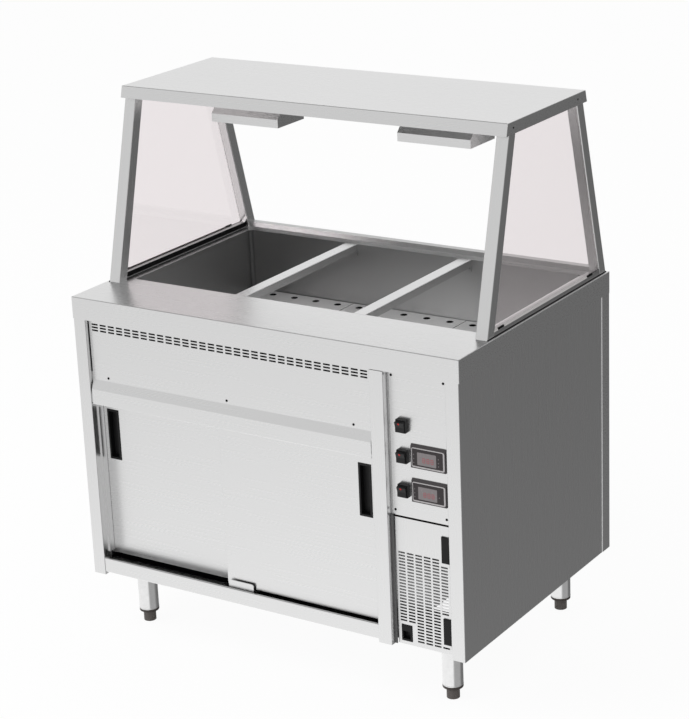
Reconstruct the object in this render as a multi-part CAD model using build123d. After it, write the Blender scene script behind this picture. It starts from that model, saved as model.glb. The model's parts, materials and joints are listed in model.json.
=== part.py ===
from build123d import *
import math
import os

# Bain marie hot cupboard: a wet well for gastronorm pans over a heated cupboard, with a lamp gantry.
# Millimetres, +Z up. The origin is on the floor, under the centre of the bench top.
# The front, with the sliding doors and the control panel, faces -Y.

# Overall sizes
WIDTH = 1100.0
DEPTH = 750.0
BENCH_HEIGHT = 895.0
GANTRY_HEIGHT = 1373.0
LEG_HEIGHT = 153.0

# Sheet thicknesses and general clearances
TOP_SHEET = 1.5
BODY_SHEET = 1.2
DOOR_SHEET = 1.0
TANK_SHEET = 1.5
FOLD_RADIUS = 1.8
SEAT_GAP = 0.3
RUNNING_GAP = 0.05

# Bench top
TOP_EDGE = 56.0
TOP_OVERHANG = 2.0
TOP_RETURN = 24.0
WELL_FRONT = 189.0
WELL_REAR = 55.0
WELL_SIDE = 52.5
WELL_CORNER = 10.0

# Cabinet frame
STILE_WIDTH = 35.5
STILE_RETURN = 22.0
STOP_PROUD = 3.5
STOP_DEPTH = 18.3
STOP_RISE = 11.5
BACK_WRAP = 40.0
DIVIDER_WIDTH = 37.0
DIVIDER_RETURN = 15.0
DIVIDER_TOP_GAP = 1.5
BAY_OPENING = 163.0
PANEL_LIP = 20.0
PARTITION_SETBACK = 15.0
BASE_SETBACK = 20.0
BASE_UPSTAND = 18.0
BAY_BASE_SETBACK = 40.0
BAY_HOLE_FRONT = 215.0
BAY_HOLE_DEPTH = 215.0
BAY_HOLE_WIDTH = 200.0
BAY_HOLE_MARGIN = 29.0

# Vent fascia with its pelmet fold
FASCIA_SETBACK = 12.0
FASCIA_GAP = 2.6
FASCIA_LIP = 8.0
PELMET_SETBACK = 3.0
PELMET_DROP = 157.0
PELMET_SLOPE = 24.0
PELMET_FACE = 40.0
VENT_SLOT_LENGTH = 19.0
VENT_SLOT_HEIGHT = 4.2
VENT_PITCH_X = 25.3
VENT_PITCH_Z = 7.6
VENT_ROWS = 3
VENT_TOP = 12.0
VENT_MARGIN = 6.0

# Sliding doors on their top track
DOOR_THICK = 18.0
DOOR_SETBACK = 18.0
DOOR_SPACING = 5.0
DOOR_TUCK = 17.5
DOOR_OVERLAP = 71.0
DOOR_FLOOR_GAP = 3.5
DOOR_TOP_GAP = 4.0
TRACK_WALL = 2.0
TRACK_SLOT = 9.0
TRACK_INSIDE = 16.0
TRACK_DROP = 171.5
TRACK_FLANGE = 34.0
SHOE_LENGTH = 40.0
SHOE_INSET = 70.0
SHOE_GAP = 0.5
NECK_WIDTH = 6.0
PULL_WIDTH = 36.0
PULL_HEIGHT = 134.0
PULL_INSET = 14.0
PULL_DROP = 47.5
PULL_LIP = 4.0
PULL_PROUD = 1.5
PULL_POCKET = 13.0
PULL_WALL = 1.5

# Bottom rail and door guide
RAIL_SETBACK = 2.0
RAIL_RISE = 7.0
RAIL_FACE = 38.5
RAIL_HEM = 6.0
RAIL_WELL = 10.0
RAIL_LEDGE = 41.5
RAIL_TROUGH = 35.0
RAIL_UPSTAND = 66.0
GUIDE_LENGTH = 74.0
GUIDE_HEIGHT = 18.5
GUIDE_SHIFT = 9.0
GUIDE_SHEET = 2.0
GUIDE_SETBACK = 11.0
GUIDE_CORNER = 6.0

# Hot cupboard inside
SHELF_RISE = 200.0
SHELF_EDGE = 20.0
SHELF_FRONT = 80.0
SHELF_REAR = 40.0
SUPPORT_LEG = 22.0
SUPPORT_SHEET = 1.5
ELEMENT_RADIUS = 5.0
ELEMENT_BEND = 120.0
ELEMENT_HOLE_GAP = 0.3
HEATER_WIDTH = 38.0
HEATER_THICK = 5.0
HEATER_TERMINAL = 18.0
HEATER_INSET = 60.0

# Wet well
WELL_DEPTH = 210.0
TANK_FLANGE = 14.0
PLATE_DROP = 165.0
PLATE_SHEET = 2.0
PLATE_GAP = 2.0
PLATE_WALL_GAP = 3.5
HOLE_RADIUS = 10.0
HOLE_PITCH = 69.0
HOLE_ROW_PITCH = 150.0
HOLE_SIDES = 8
HOLE_EDGE = 26.0
WELL_ELEMENT_RISE = 18.0
WELL_ELEMENT_INSET = 30.0
ELEMENT_TAIL = 20.0
BAY_COUNT = 3
BAR_WIDTH = 34.0
BAR_HEIGHT = 20.0
BAR_SHEET = 1.5
BAR_END_GAP = 0.5
REST_DEPTH = 12.0
REST_SHEET = 3.0

# Drain of the well
DRAIN_FROM_PARTITION = 95.5
DRAIN_SETBACK = 300.0
DRAIN_RADIUS = 11.0
DRAIN_BORE = 9.0
VALVE_RISE = 400.0
VALVE_LENGTH = 60.0
VALVE_RADIUS = 18.0
STEM_RADIUS = 5.0
STEM_LENGTH = 12.0
LEVER_LENGTH = 85.0
LEVER_WIDTH = 14.0
LEVER_THICK = 3.0
DRAIN_TAIL = 20.0

# Control panel
PANEL_SETBACK = 20.0
PANEL_SHEET = 1.5
PANEL_SIDE_GAP_LEFT = 4.0
PANEL_SIDE_GAP_RIGHT = 9.0
PANEL_TALL = 356.0
PANEL_TOP_GAP = 0.5
SWITCH_X = 33.9
SWITCH_DROPS = (130.0, 204.5, 289.0)
BEZEL_WIDTH = 26.0
BEZEL_HEIGHT = 31.4
BEZEL_PROUD = 12.0
BEZEL_EDGE = 0.8
BEZEL_BACK = 1.5
SWITCH_BODY_WIDTH = 23.6
SWITCH_BODY_HEIGHT = 29.0
SWITCH_BODY_DEPTH = 26.0
CUTOUT_GAP = 0.4
ROCKER_WIDTH = 23.2
ROCKER_RADIUS = 13.6
ROCKER_GAP = 0.35
ROCKER_TILT = 9.0
ROCKER_CREST = 8.5
ROCKER_CREST_HALF = 12.4
ROCKER_SHOULDER = 5.0
ROCKER_ROOT = 3.0
PIVOT_PROUD = 9.0
CONTROLLER_X = 101.3
CONTROLLER_DROPS = (199.3, 283.8)
CONTROLLER_WIDTH = 92.5
CONTROLLER_HEIGHT = 57.5
CONTROLLER_PROUD = 6.0
CONTROLLER_FRAME = 2.2
CONTROLLER_EDGE = 1.0
CONTROLLER_BROW = 6.5
CONTROLLER_BROW_DEPTH = 4.5
CONTROLLER_RECESS = 1.0
CONTROLLER_BODY_WIDTH = 71.0
CONTROLLER_BODY_HEIGHT = 29.0
CONTROLLER_BODY_DEPTH = 55.0

# Vent door of the control bay
VENT_DOOR_GAP = 7.0
VENT_DOOR_HINGE_GAP = 9.5
VENT_DOOR_TOP_GAP = 5.0
VENT_DOOR_EDGE = 12.0
VENT_DOOR_RISE = 1.0
GRILLE_COLUMNS = 6
GRILLE_ROWS = 29
GRILLE_PITCH_X = 22.9
GRILLE_PITCH_Z = 7.9
GRILLE_SLOT_LENGTH = 18.2
GRILLE_SLOT_HEIGHT = 4.2
GRILLE_BOTTOM = 14.0
GRILLE_CLEAR = 3.0
FINGER_PULL_WIDTH = 29.0
FINGER_PULL_HEIGHT = 42.0
FINGER_PULL_X = 24.0
FINGER_PULL_RISE = 29.8
FINGER_PULL_PROUD = 2.0
FINGER_POCKET = 20.0
FINGER_POCKET_DEPTH = 9.0
FINGER_POCKET_DROP = 5.0
HINGE_HEIGHT = 66.0
HINGE_LEAF = 21.0
HINGE_THICK = 4.0
HINGE_INSET_LOW = 24.0
HINGE_INSET_HIGH = 26.0
KNUCKLE_RADIUS = 3.6
KNUCKLE_X = 5.2
PIN_RADIUS = 2.0
KNUCKLE_GAP = 0.3
CATCH_WIDTH = 30.0
CATCH_HEIGHT = 16.0
CATCH_DEPTH = 24.0

# Control gear in the bay
GEAR_PLATE_SHEET = 1.5
GEAR_PLATE_SETBACK = 50.0
GEAR_PLATE_DEPTH = 180.0
GEAR_PLATE_RISE = 120.0
GEAR_PLATE_HEIGHT = 260.0
CONTACTOR = (60.0, 46.0, 76.0)
TERMINAL = (28.0, 150.0, 36.0)
GLAND_RADIUS = 11.0
GLAND_NUT = 15.0
GLAND_X = 45.0
GLAND_SETBACK = 90.0

# Gantry
POST_SIZE = 32.0
POST_WALL = 1.5
POST_CORNER = 2.5
POST_INSET = 7.0
POST_FOOT_FRONT = 143.0
POST_FOOT_REAR = 7.5
POST_LEAN = 0.26
SHELF_THICK = 29.0
SHELF_OVERHANG = 15.0
SHELF_END_GAP = 0.5
RAIL_WIDTH = 20.0
RAIL_HEIGHT = 14.0
GLASS_THICK = 5.0
GLASS_LIP = 2.0
GLASS_GROOVE_GAP = 0.5
GLASS_GROOVE_DEPTH = 9.0
GLASS_POST_GAP = 0.5
GLASS_TOP_GAP = 8.0

# Heat lamps under the gantry shelf
LAMP_LENGTH = 200.0
LAMP_DEPTH = 115.5
LAMP_X = 272.0
LAMP_BOTTOM = 75.0
LAMP_LIP = 21.0
LAMP_SLOPE = 30.0
LAMP_SHEET = 1.2
LAMP_STEM_RADIUS = 5.0
LAMP_STEM_SPACING = 120.0
LAMP_TUBE_RADIUS = 5.0
LAMP_CAP_RADIUS = 8.0
LAMP_CAP_LENGTH = 14.0
LAMP_TUBE_RISE = 20.0

# Legs and feet
LEG_RADIUS = 25.4
LEG_WALL = 1.5
LEG_INSET_X = 94.0
LEG_INSET_Y = 97.0
LEG_PLATE = 90.0
LEG_PLATE_THICK = 3.0
LEG_PLUG = 14.0
FOOT_HEIGHT = 35.5
FOOT_PAD_HEIGHT = 27.0
FOOT_PAD_RADIUS = 16.0
FOOT_COLLAR_RADIUS = 25.0
FOOT_STEM_RADIUS = 6.0
FOOT_STEM_LENGTH = 60.0
FOOT_STEM_GAP = 0.1

# Places worked out from the sizes above
FRONT = -DEPTH / 2
REAR = DEPTH / 2
SKIRT_Z = BENCH_HEIGHT - TOP_EDGE
SIDE_X = WIDTH / 2 - TOP_OVERHANG
OPENING_LEFT = -SIDE_X + STILE_WIDTH
STILE_RIGHT = SIDE_X - STILE_WIDTH
DIVIDER_RIGHT = STILE_RIGHT - BAY_OPENING
DIVIDER_LEFT = DIVIDER_RIGHT - DIVIDER_WIDTH
PARTITION_X = DIVIDER_RIGHT - PARTITION_SETBACK
DRAIN_X = PARTITION_X + DRAIN_FROM_PARTITION
INSIDE_LEFT = -SIDE_X + BODY_SHEET
INSIDE_REAR = REAR - BODY_SHEET
WELL_Y0 = FRONT + WELL_FRONT
WELL_Y1 = REAR - WELL_REAR
WELL_X = WIDTH / 2 - WELL_SIDE
TANK_TOP = BENCH_HEIGHT - TOP_SHEET
TANK_FLOOR = BENCH_HEIGHT - WELL_DEPTH
BAY_PITCH = (2 * WELL_X + BAR_WIDTH) / BAY_COUNT
PLATE_TOP = BENCH_HEIGHT - PLATE_DROP
RAIL_TOP = LEG_HEIGHT + RAIL_RISE + RAIL_FACE
BASE_TOP = LEG_HEIGHT + BODY_SHEET
DOOR_BOTTOM = RAIL_TOP + DOOR_FLOOR_GAP
TRACK_TOP = SKIRT_Z - TRACK_DROP
TRACK_BOTTOM = TRACK_TOP - TRACK_WALL - TRACK_INSIDE - TRACK_WALL
DOOR_TOP = TRACK_BOTTOM - DOOR_TOP_GAP
DOOR_SPAN = STILE_RIGHT - BAY_OPENING - DIVIDER_WIDTH - OPENING_LEFT
DOOR_WIDTH = (DOOR_SPAN + 2 * DOOR_TUCK + DOOR_OVERLAP) / 2
FRONT_DOOR_Y = FRONT + DOOR_SETBACK
REAR_DOOR_Y = FRONT_DOOR_Y + DOOR_THICK + DOOR_SPACING
PANEL_Y = FRONT + PANEL_SETBACK
PANEL_LEFT = DIVIDER_RIGHT + PANEL_SIDE_GAP_LEFT
PANEL_RIGHT = STILE_RIGHT - PANEL_SIDE_GAP_RIGHT
PANEL_TOP = SKIRT_Z - PANEL_TOP_GAP
PANEL_BOTTOM = PANEL_TOP - PANEL_TALL
SHELF_BOTTOM = GANTRY_HEIGHT - SHELF_THICK
POST_X = WIDTH / 2 - POST_INSET
GANTRY_Y = (FRONT + POST_FOOT_FRONT + REAR - POST_FOOT_REAR) / 2

PARTS = {}


def block(x0, x1, y0, y1, z0, z1):
    """Box between two corners."""
    centre = Pos((x0 + x1) / 2, (y0 + y1) / 2, (z0 + z1) / 2)
    return centre * Box(x1 - x0, y1 - y0, z1 - z0)


def polygon(points):
    """Closed face through the points."""
    return make_face(Polyline(*points, close=True))


def folded(path, thick):
    """Outline of a bent sheet: a line and the same line moved to its left by the sheet's thickness."""
    steps = [(b[0] - a[0], b[1] - a[1]) for a, b in zip(path, path[1:])]
    normals = [(-dv / math.hypot(du, dv), du / math.hypot(du, dv)) for du, dv in steps]
    moved = []
    for index, (u, v) in enumerate(path):
        before = normals[max(index - 1, 0)]
        after = normals[min(index, len(normals) - 1)]
        reach = thick / (1 + before[0] * after[0] + before[1] * after[1])
        moved.append((u + reach * (before[0] + after[0]), v + reach * (before[1] + after[1])))
    return list(path) + moved[::-1]


def along_x(points, x0, x1):
    """Prism of a (y, z) outline from x0 to x1."""
    return extrude(Pos(x0, 0, 0) * (Plane.YZ * polygon(points)), amount=x1 - x0, dir=(1, 0, 0))


def along_z(points, z0, z1):
    """Prism of an (x, y) outline from z0 to z1."""
    return extrude(Pos(0, 0, z0) * polygon(points), amount=z1 - z0, dir=(0, 0, 1))


def along_y(points, y0, y1):
    """Prism of an (x, z) outline from y0 to y1."""
    return extrude(Pos(0, y0, 0) * (Plane.XZ * polygon(points)), amount=y1 - y0, dir=(0, 1, 0))


def rod(radius, start, end):
    """Round bar between two points on one axis direction."""
    axis = Vector(*end) - Vector(*start)
    place = Plane(origin=start, z_dir=axis.normalized())
    return extrude(place * Circle(radius), amount=axis.length)


def slotted(x0, x1, z0, z1, slots):
    """Upright face in the XZ plane with slots, each given as centre x, centre z, length and height."""
    sheet = Pos((x0 + x1) / 2, (z0 + z1) / 2) * Rectangle(x1 - x0, z1 - z0)
    return sheet - [Pos(u, v) * Rectangle(length, height) for u, v, length, height in slots]


def upright(face, y0, thick):
    """Thickness given to an upright XZ face whose front lies at y0."""
    return extrude(Pos(0, y0, 0) * (Plane.XZ * face), amount=thick, dir=(0, 1, 0))


def soften(solid, axis, *places):
    """Rounds the outside of folds: the edges along an axis that pass through the given places."""
    folds = [
        edge
        for edge in solid.edges().filter_by(axis)
        if any((edge @ 0.5 - Vector(*place)).cross(axis.direction).length < RUNNING_GAP for place in places)
    ]
    return fillet(folds, FOLD_RADIUS)


def keep(name, *solids):
    """One node made of one or more separate solids."""
    PARTS[name] = Compound([one for solid in solids for one in solid.solids()])


def hairpin(x_mouth, x_bend, y_middle, z):
    """Heating element: a tube from its mouth along X, round a half turn and back."""
    with_bend = x_bend + ELEMENT_BEND
    line = Line((x_mouth, y_middle - ELEMENT_BEND, z), (with_bend, y_middle - ELEMENT_BEND, z))
    arc = ThreePointArc(
        (with_bend, y_middle - ELEMENT_BEND, z),
        (x_bend, y_middle, z),
        (with_bend, y_middle + ELEMENT_BEND, z),
    )
    back = Line((with_bend, y_middle + ELEMENT_BEND, z), (x_mouth, y_middle + ELEMENT_BEND, z))
    start = Plane(origin=(x_mouth, y_middle - ELEMENT_BEND, z), z_dir=(-1, 0, 0))
    return sweep(start * Circle(ELEMENT_RADIUS), path=Wire([line, arc, back]))


def bench_top():
    """Folded bench top: a plate with a skirt, a return under the skirt and the well cut out."""
    shell = block(-WIDTH / 2, WIDTH / 2, FRONT, REAR, SKIRT_Z, BENCH_HEIGHT)
    shell = fillet(
        shell.edges().filter_by(Axis.Z) + shell.faces().sort_by(Axis.Z)[-1].edges(), FOLD_RADIUS
    )
    shell -= block(
        -WIDTH / 2 + TOP_SHEET, WIDTH / 2 - TOP_SHEET, FRONT + TOP_SHEET, REAR - TOP_SHEET,
        SKIRT_Z + TOP_SHEET, TANK_TOP,
    )
    shell -= block(
        -WIDTH / 2 + TOP_RETURN, WIDTH / 2 - TOP_RETURN, FRONT + TOP_RETURN, REAR - TOP_RETURN,
        SKIRT_Z, SKIRT_Z + TOP_SHEET,
    )
    keep("bench_top", shell - well_space(0, TANK_TOP, BENCH_HEIGHT))


def well_space(wall, z0, z1):
    """Rounded box of the well, grown sideways by a wall."""
    outline = RectangleRounded(
        2 * (WELL_X + wall), WELL_Y1 - WELL_Y0 + 2 * wall, WELL_CORNER + wall
    )
    return extrude(Pos(0, (WELL_Y0 + WELL_Y1) / 2, z0) * outline, amount=z1 - z0)


def cabinet_shell():
    """Side panels with their front stiles, back panel, base pan, divider post and bay partition."""
    wrap_y = REAR - BACK_WRAP
    for name, side in (("side_panel_left", -1), ("side_panel_right", 1)):
        path = [
            (side * SIDE_X, INSIDE_REAR),
            (side * SIDE_X, FRONT),
            (side * (SIDE_X - STILE_WIDTH), FRONT),
            (side * (SIDE_X - STILE_WIDTH), FRONT + STILE_RETURN),
        ]
        panel = along_z(folded(path, -side * BODY_SHEET), LEG_HEIGHT, SKIRT_Z)
        panel = soften(panel, Axis.Z, *[(x, y, 0) for x, y in path[1:3]])
        if side < 0:
            stop_y = FRONT + STILE_RETURN
            panel += block(
                OPENING_LEFT - BODY_SHEET, OPENING_LEFT + STOP_PROUD, stop_y, stop_y + STOP_DEPTH,
                RAIL_TOP + STOP_RISE, TRACK_BOTTOM - STOP_RISE,
            )
        else:
            panel += block(
                STILE_RIGHT - PANEL_LIP, STILE_RIGHT, PANEL_Y + PANEL_SHEET,
                FRONT + STILE_RETURN + PANEL_SHEET, PANEL_BOTTOM, SKIRT_Z,
            ) + block(
                STILE_RIGHT, STILE_RIGHT + BODY_SHEET, FRONT + STILE_RETURN,
                FRONT + STILE_RETURN + PANEL_SHEET, PANEL_BOTTOM, SKIRT_Z,
            )
        keep(name, panel)

    wrap_x = SIDE_X + BODY_SHEET
    wrap = [(-wrap_x, wrap_y), (-wrap_x, REAR), (wrap_x, REAR), (wrap_x, wrap_y)]
    back = along_z(folded(wrap, -BODY_SHEET), LEG_HEIGHT, SKIRT_Z)
    keep("back_panel", soften(back, Axis.Z, *[(x, y, 0) for x, y in wrap[1:3]]))

    inner_x = SIDE_X - BODY_SHEET
    pan = block(-inner_x, inner_x, FRONT + BASE_SETBACK, INSIDE_REAR, LEG_HEIGHT, BASE_TOP)
    pan += block(
        -inner_x, inner_x, INSIDE_REAR - BODY_SHEET, INSIDE_REAR, BASE_TOP, BASE_TOP + BASE_UPSTAND
    )
    for side in (-1, 1):
        pan += block(
            min(side * inner_x, side * (inner_x - BODY_SHEET)),
            max(side * inner_x, side * (inner_x - BODY_SHEET)),
            FRONT + BAY_BASE_SETBACK, INSIDE_REAR, BASE_TOP, BASE_TOP + BASE_UPSTAND,
        )
    pan -= block(
        DIVIDER_LEFT, inner_x, FRONT + BASE_SETBACK, FRONT + BAY_BASE_SETBACK, LEG_HEIGHT, SKIRT_Z
    )
    pan -= block(
        OPENING_LEFT - STILE_WIDTH, OPENING_LEFT, FRONT, FRONT + STILE_RETURN + BODY_SHEET,
        LEG_HEIGHT, SKIRT_Z,
    )
    hole_x = DIVIDER_RIGHT - BAY_HOLE_MARGIN
    pan -= block(
        max(hole_x, PARTITION_X + BODY_SHEET), min(hole_x + BAY_HOLE_WIDTH, inner_x - BASE_UPSTAND),
        FRONT + BAY_HOLE_FRONT, FRONT + BAY_HOLE_FRONT + BAY_HOLE_DEPTH, LEG_HEIGHT, BASE_TOP,
    )
    pan -= rod(GLAND_RADIUS + SEAT_GAP, gland_place(LEG_HEIGHT), gland_place(BASE_TOP))
    keep("base_pan", pan)

    path = [
        (DIVIDER_RIGHT, FRONT + STILE_RETURN),
        (DIVIDER_RIGHT, FRONT),
        (DIVIDER_LEFT, FRONT),
        (DIVIDER_LEFT, FRONT + DIVIDER_RETURN),
    ]
    post = along_z(folded(path, -BODY_SHEET), LEG_HEIGHT, SKIRT_Z - DIVIDER_TOP_GAP)
    post = soften(post, Axis.Z, *[(x, y, 0) for x, y in path[1:3]])
    post += block(
        DIVIDER_RIGHT - BODY_SHEET, DIVIDER_RIGHT + PANEL_LIP, PANEL_Y + PANEL_SHEET,
        FRONT + STILE_RETURN + PANEL_SHEET, PANEL_BOTTOM, SKIRT_Z - DIVIDER_TOP_GAP,
    ) - block(
        DIVIDER_RIGHT - BODY_SHEET, DIVIDER_RIGHT, FRONT, FRONT + STILE_RETURN, PANEL_BOTTOM, SKIRT_Z
    )
    keep("divider_post", post)

    path = [
        (PARTITION_X, INSIDE_REAR - BODY_SHEET),
        (PARTITION_X, FRONT + STILE_RETURN + BODY_SHEET + SEAT_GAP),
        (DIVIDER_RIGHT - BODY_SHEET, FRONT + STILE_RETURN + BODY_SHEET + SEAT_GAP),
    ]
    wall = along_z(folded(path, BODY_SHEET), BASE_TOP, TANK_FLOOR - TANK_SHEET)
    keep("bay_partition", wall)


def gland_place(z):
    """Point on the mains gland's axis."""
    return (PARTITION_X + GLAND_X, REAR - GLAND_SETBACK, z)


def vent_fascia():
    """Recessed fascia with rows of vents, folded forward at its foot into the pelmet over the doors."""
    x0 = OPENING_LEFT + FASCIA_GAP
    x1 = DIVIDER_LEFT - FASCIA_GAP
    bend_z = SKIRT_Z - PELMET_DROP
    face_z = bend_z - PELMET_SLOPE
    path = [
        (FRONT + FASCIA_SETBACK, SKIRT_Z),
        (FRONT + FASCIA_SETBACK, bend_z),
        (FRONT + PELMET_SETBACK, face_z),
        (FRONT + PELMET_SETBACK, face_z - PELMET_FACE),
        (FRONT + PELMET_SETBACK + FASCIA_LIP, face_z - PELMET_FACE),
    ]
    fascia = along_x(folded(path, BODY_SHEET), x0, x1)
    fascia = soften(fascia, Axis.X, *[(0, y, z) for y, z in path[2:4]])
    count = int((x1 - x0 - 2 * VENT_MARGIN - VENT_SLOT_LENGTH) // VENT_PITCH_X) + 1
    grid = GridLocations(VENT_PITCH_X, VENT_PITCH_Z, count, VENT_ROWS)
    middle = Pos((x0 + x1) / 2, SKIRT_Z - VENT_TOP - (VENT_ROWS - 1) / 2 * VENT_PITCH_Z)
    slots = [middle * place * Rectangle(VENT_SLOT_LENGTH, VENT_SLOT_HEIGHT) for place in grid]
    fascia -= [upright(slot, FRONT + FASCIA_SETBACK, BODY_SHEET) for slot in slots]
    keep("vent_fascia", fascia)


def door_track():
    """Twin top track: two channels with lips, and a flange up behind the fascia that it carries."""
    y0 = FRONT + FASCIA_SETBACK + BODY_SHEET
    y1 = REAR_DOOR_Y + DOOR_THICK + TRACK_WALL
    track = block(OPENING_LEFT, DIVIDER_LEFT, y0, y1, TRACK_BOTTOM, TRACK_TOP)
    track += block(
        OPENING_LEFT, DIVIDER_LEFT, y0, y0 + TRACK_WALL, TRACK_TOP, TRACK_TOP + TRACK_FLANGE
    )
    for door_y in (FRONT_DOOR_Y, REAR_DOOR_Y):
        middle = door_y + DOOR_THICK / 2
        track -= block(
            OPENING_LEFT, DIVIDER_LEFT, door_y, door_y + DOOR_THICK,
            TRACK_BOTTOM + TRACK_WALL, TRACK_TOP - TRACK_WALL,
        )
        track -= block(
            OPENING_LEFT, DIVIDER_LEFT, middle - TRACK_SLOT / 2, middle + TRACK_SLOT / 2,
            TRACK_BOTTOM, TRACK_BOTTOM + TRACK_WALL,
        )
    keep("door_track", track)


def sliding_door(name, x0, y0, pull_side):
    """Tray door with its flush pull and the two nylon shoes that hang it in the track."""
    x1 = x0 + DOOR_WIDTH
    y1 = y0 + DOOR_THICK
    tray = block(x0, x1, y0, y1, DOOR_BOTTOM, DOOR_TOP)
    tray = fillet(tray.faces().sort_by(Axis.Y)[0].edges(), DOOR_SHEET)
    tray -= block(
        x0 + DOOR_SHEET, x1 - DOOR_SHEET, y0 + DOOR_SHEET, y1,
        DOOR_BOTTOM + DOOR_SHEET, DOOR_TOP - DOOR_SHEET,
    )
    edge = OPENING_LEFT if pull_side < 0 else DIVIDER_LEFT
    pull_x = edge - pull_side * (PULL_INSET + PULL_WIDTH / 2)
    pull_top = DOOR_TOP - PULL_DROP
    cup = (
        pull_x - PULL_WIDTH / 2 + PULL_LIP, pull_x + PULL_WIDTH / 2 - PULL_LIP,
        pull_top - PULL_HEIGHT + PULL_LIP, pull_top - PULL_LIP,
    )
    tray -= block(
        cup[0] - SEAT_GAP, cup[1] + SEAT_GAP, y0, y0 + DOOR_SHEET, cup[2] - SEAT_GAP, cup[3] + SEAT_GAP
    )
    keep(name, tray)

    pull = block(
        pull_x - PULL_WIDTH / 2, pull_x + PULL_WIDTH / 2, y0 - PULL_PROUD, y0,
        pull_top - PULL_HEIGHT, pull_top,
    )
    pull = chamfer(pull.faces().sort_by(Axis.Y)[0].edges(), PULL_PROUD / 2)
    pull += block(cup[0], cup[1], y0, y0 + PULL_POCKET + PULL_WALL, cup[2], cup[3])
    pull -= block(
        cup[0] + PULL_WALL, cup[1] - PULL_WALL, y0 - PULL_PROUD, y0 + PULL_POCKET,
        cup[2] + PULL_WALL, cup[3] - PULL_WALL,
    )
    keep(name + "_pull", pull)

    middle = (y0 + y1) / 2
    shoe_z = TRACK_BOTTOM + TRACK_WALL + SEAT_GAP
    shoes = []
    for x in (x0 + SHOE_INSET, x1 - SHOE_INSET):
        shoe = block(
            x - SHOE_LENGTH / 2, x + SHOE_LENGTH / 2, y0 + SHOE_GAP, y1 - SHOE_GAP,
            shoe_z, TRACK_TOP - TRACK_WALL - SHOE_GAP,
        )
        neck = block(
            x - SHOE_LENGTH / 4, x + SHOE_LENGTH / 4, middle - NECK_WIDTH / 2, middle + NECK_WIDTH / 2,
            DOOR_TOP, shoe_z,
        )
        shoes.append(shoe + neck)
    keep(name + "_shoes", *shoes)


def bottom_rail():
    """Rail under the doors: a front face, a ledge, a trough and an upstand that carries the floor's edge."""
    low = LEG_HEIGHT + RAIL_RISE
    gutter = RAIL_TOP - RAIL_WELL
    trough = RAIL_TOP - RAIL_TROUGH
    path = [
        (FRONT + BASE_SETBACK, low),
        (FRONT + RAIL_SETBACK, low),
        (FRONT + RAIL_SETBACK, RAIL_TOP),
        (FRONT + RAIL_HEM + RAIL_SETBACK, RAIL_TOP),
        (FRONT + RAIL_HEM + RAIL_SETBACK, gutter),
        (FRONT + RAIL_LEDGE, gutter),
        (FRONT + RAIL_LEDGE, trough),
        (FRONT + RAIL_UPSTAND, trough),
        (FRONT + RAIL_UPSTAND, RAIL_TOP),
    ]
    rail = along_x(folded(path, -BODY_SHEET), OPENING_LEFT, DIVIDER_LEFT)
    keep("bottom_rail", soften(rail, Axis.X, *[(0, y, z) for y, z in path[1:4]]))

    middle = (OPENING_LEFT + DIVIDER_LEFT) / 2 + GUIDE_SHIFT
    x0 = middle - GUIDE_LENGTH / 2
    x1 = middle + GUIDE_LENGTH / 2
    y0 = FRONT + GUIDE_SETBACK
    fin_y = FRONT_DOOR_Y + DOOR_THICK + (DOOR_SPACING - GUIDE_SHEET) / 2
    top = RAIL_TOP + GUIDE_HEIGHT
    plate = block(x0, x1, y0, y0 + GUIDE_SHEET, gutter + GUIDE_SHEET, top)
    plate = fillet(plate.edges().filter_by(Axis.Y).group_by(Axis.Z)[-1], GUIDE_CORNER)
    fin = block(x0, x1, fin_y, fin_y + GUIDE_SHEET, gutter + GUIDE_SHEET, top)
    fin = fillet(fin.edges().filter_by(Axis.Y).group_by(Axis.Z)[-1], GUIDE_CORNER)
    foot = block(x0, x1, y0, fin_y + GUIDE_SHEET, gutter, gutter + GUIDE_SHEET)
    keep("door_guide", foot + plate + fin)


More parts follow.
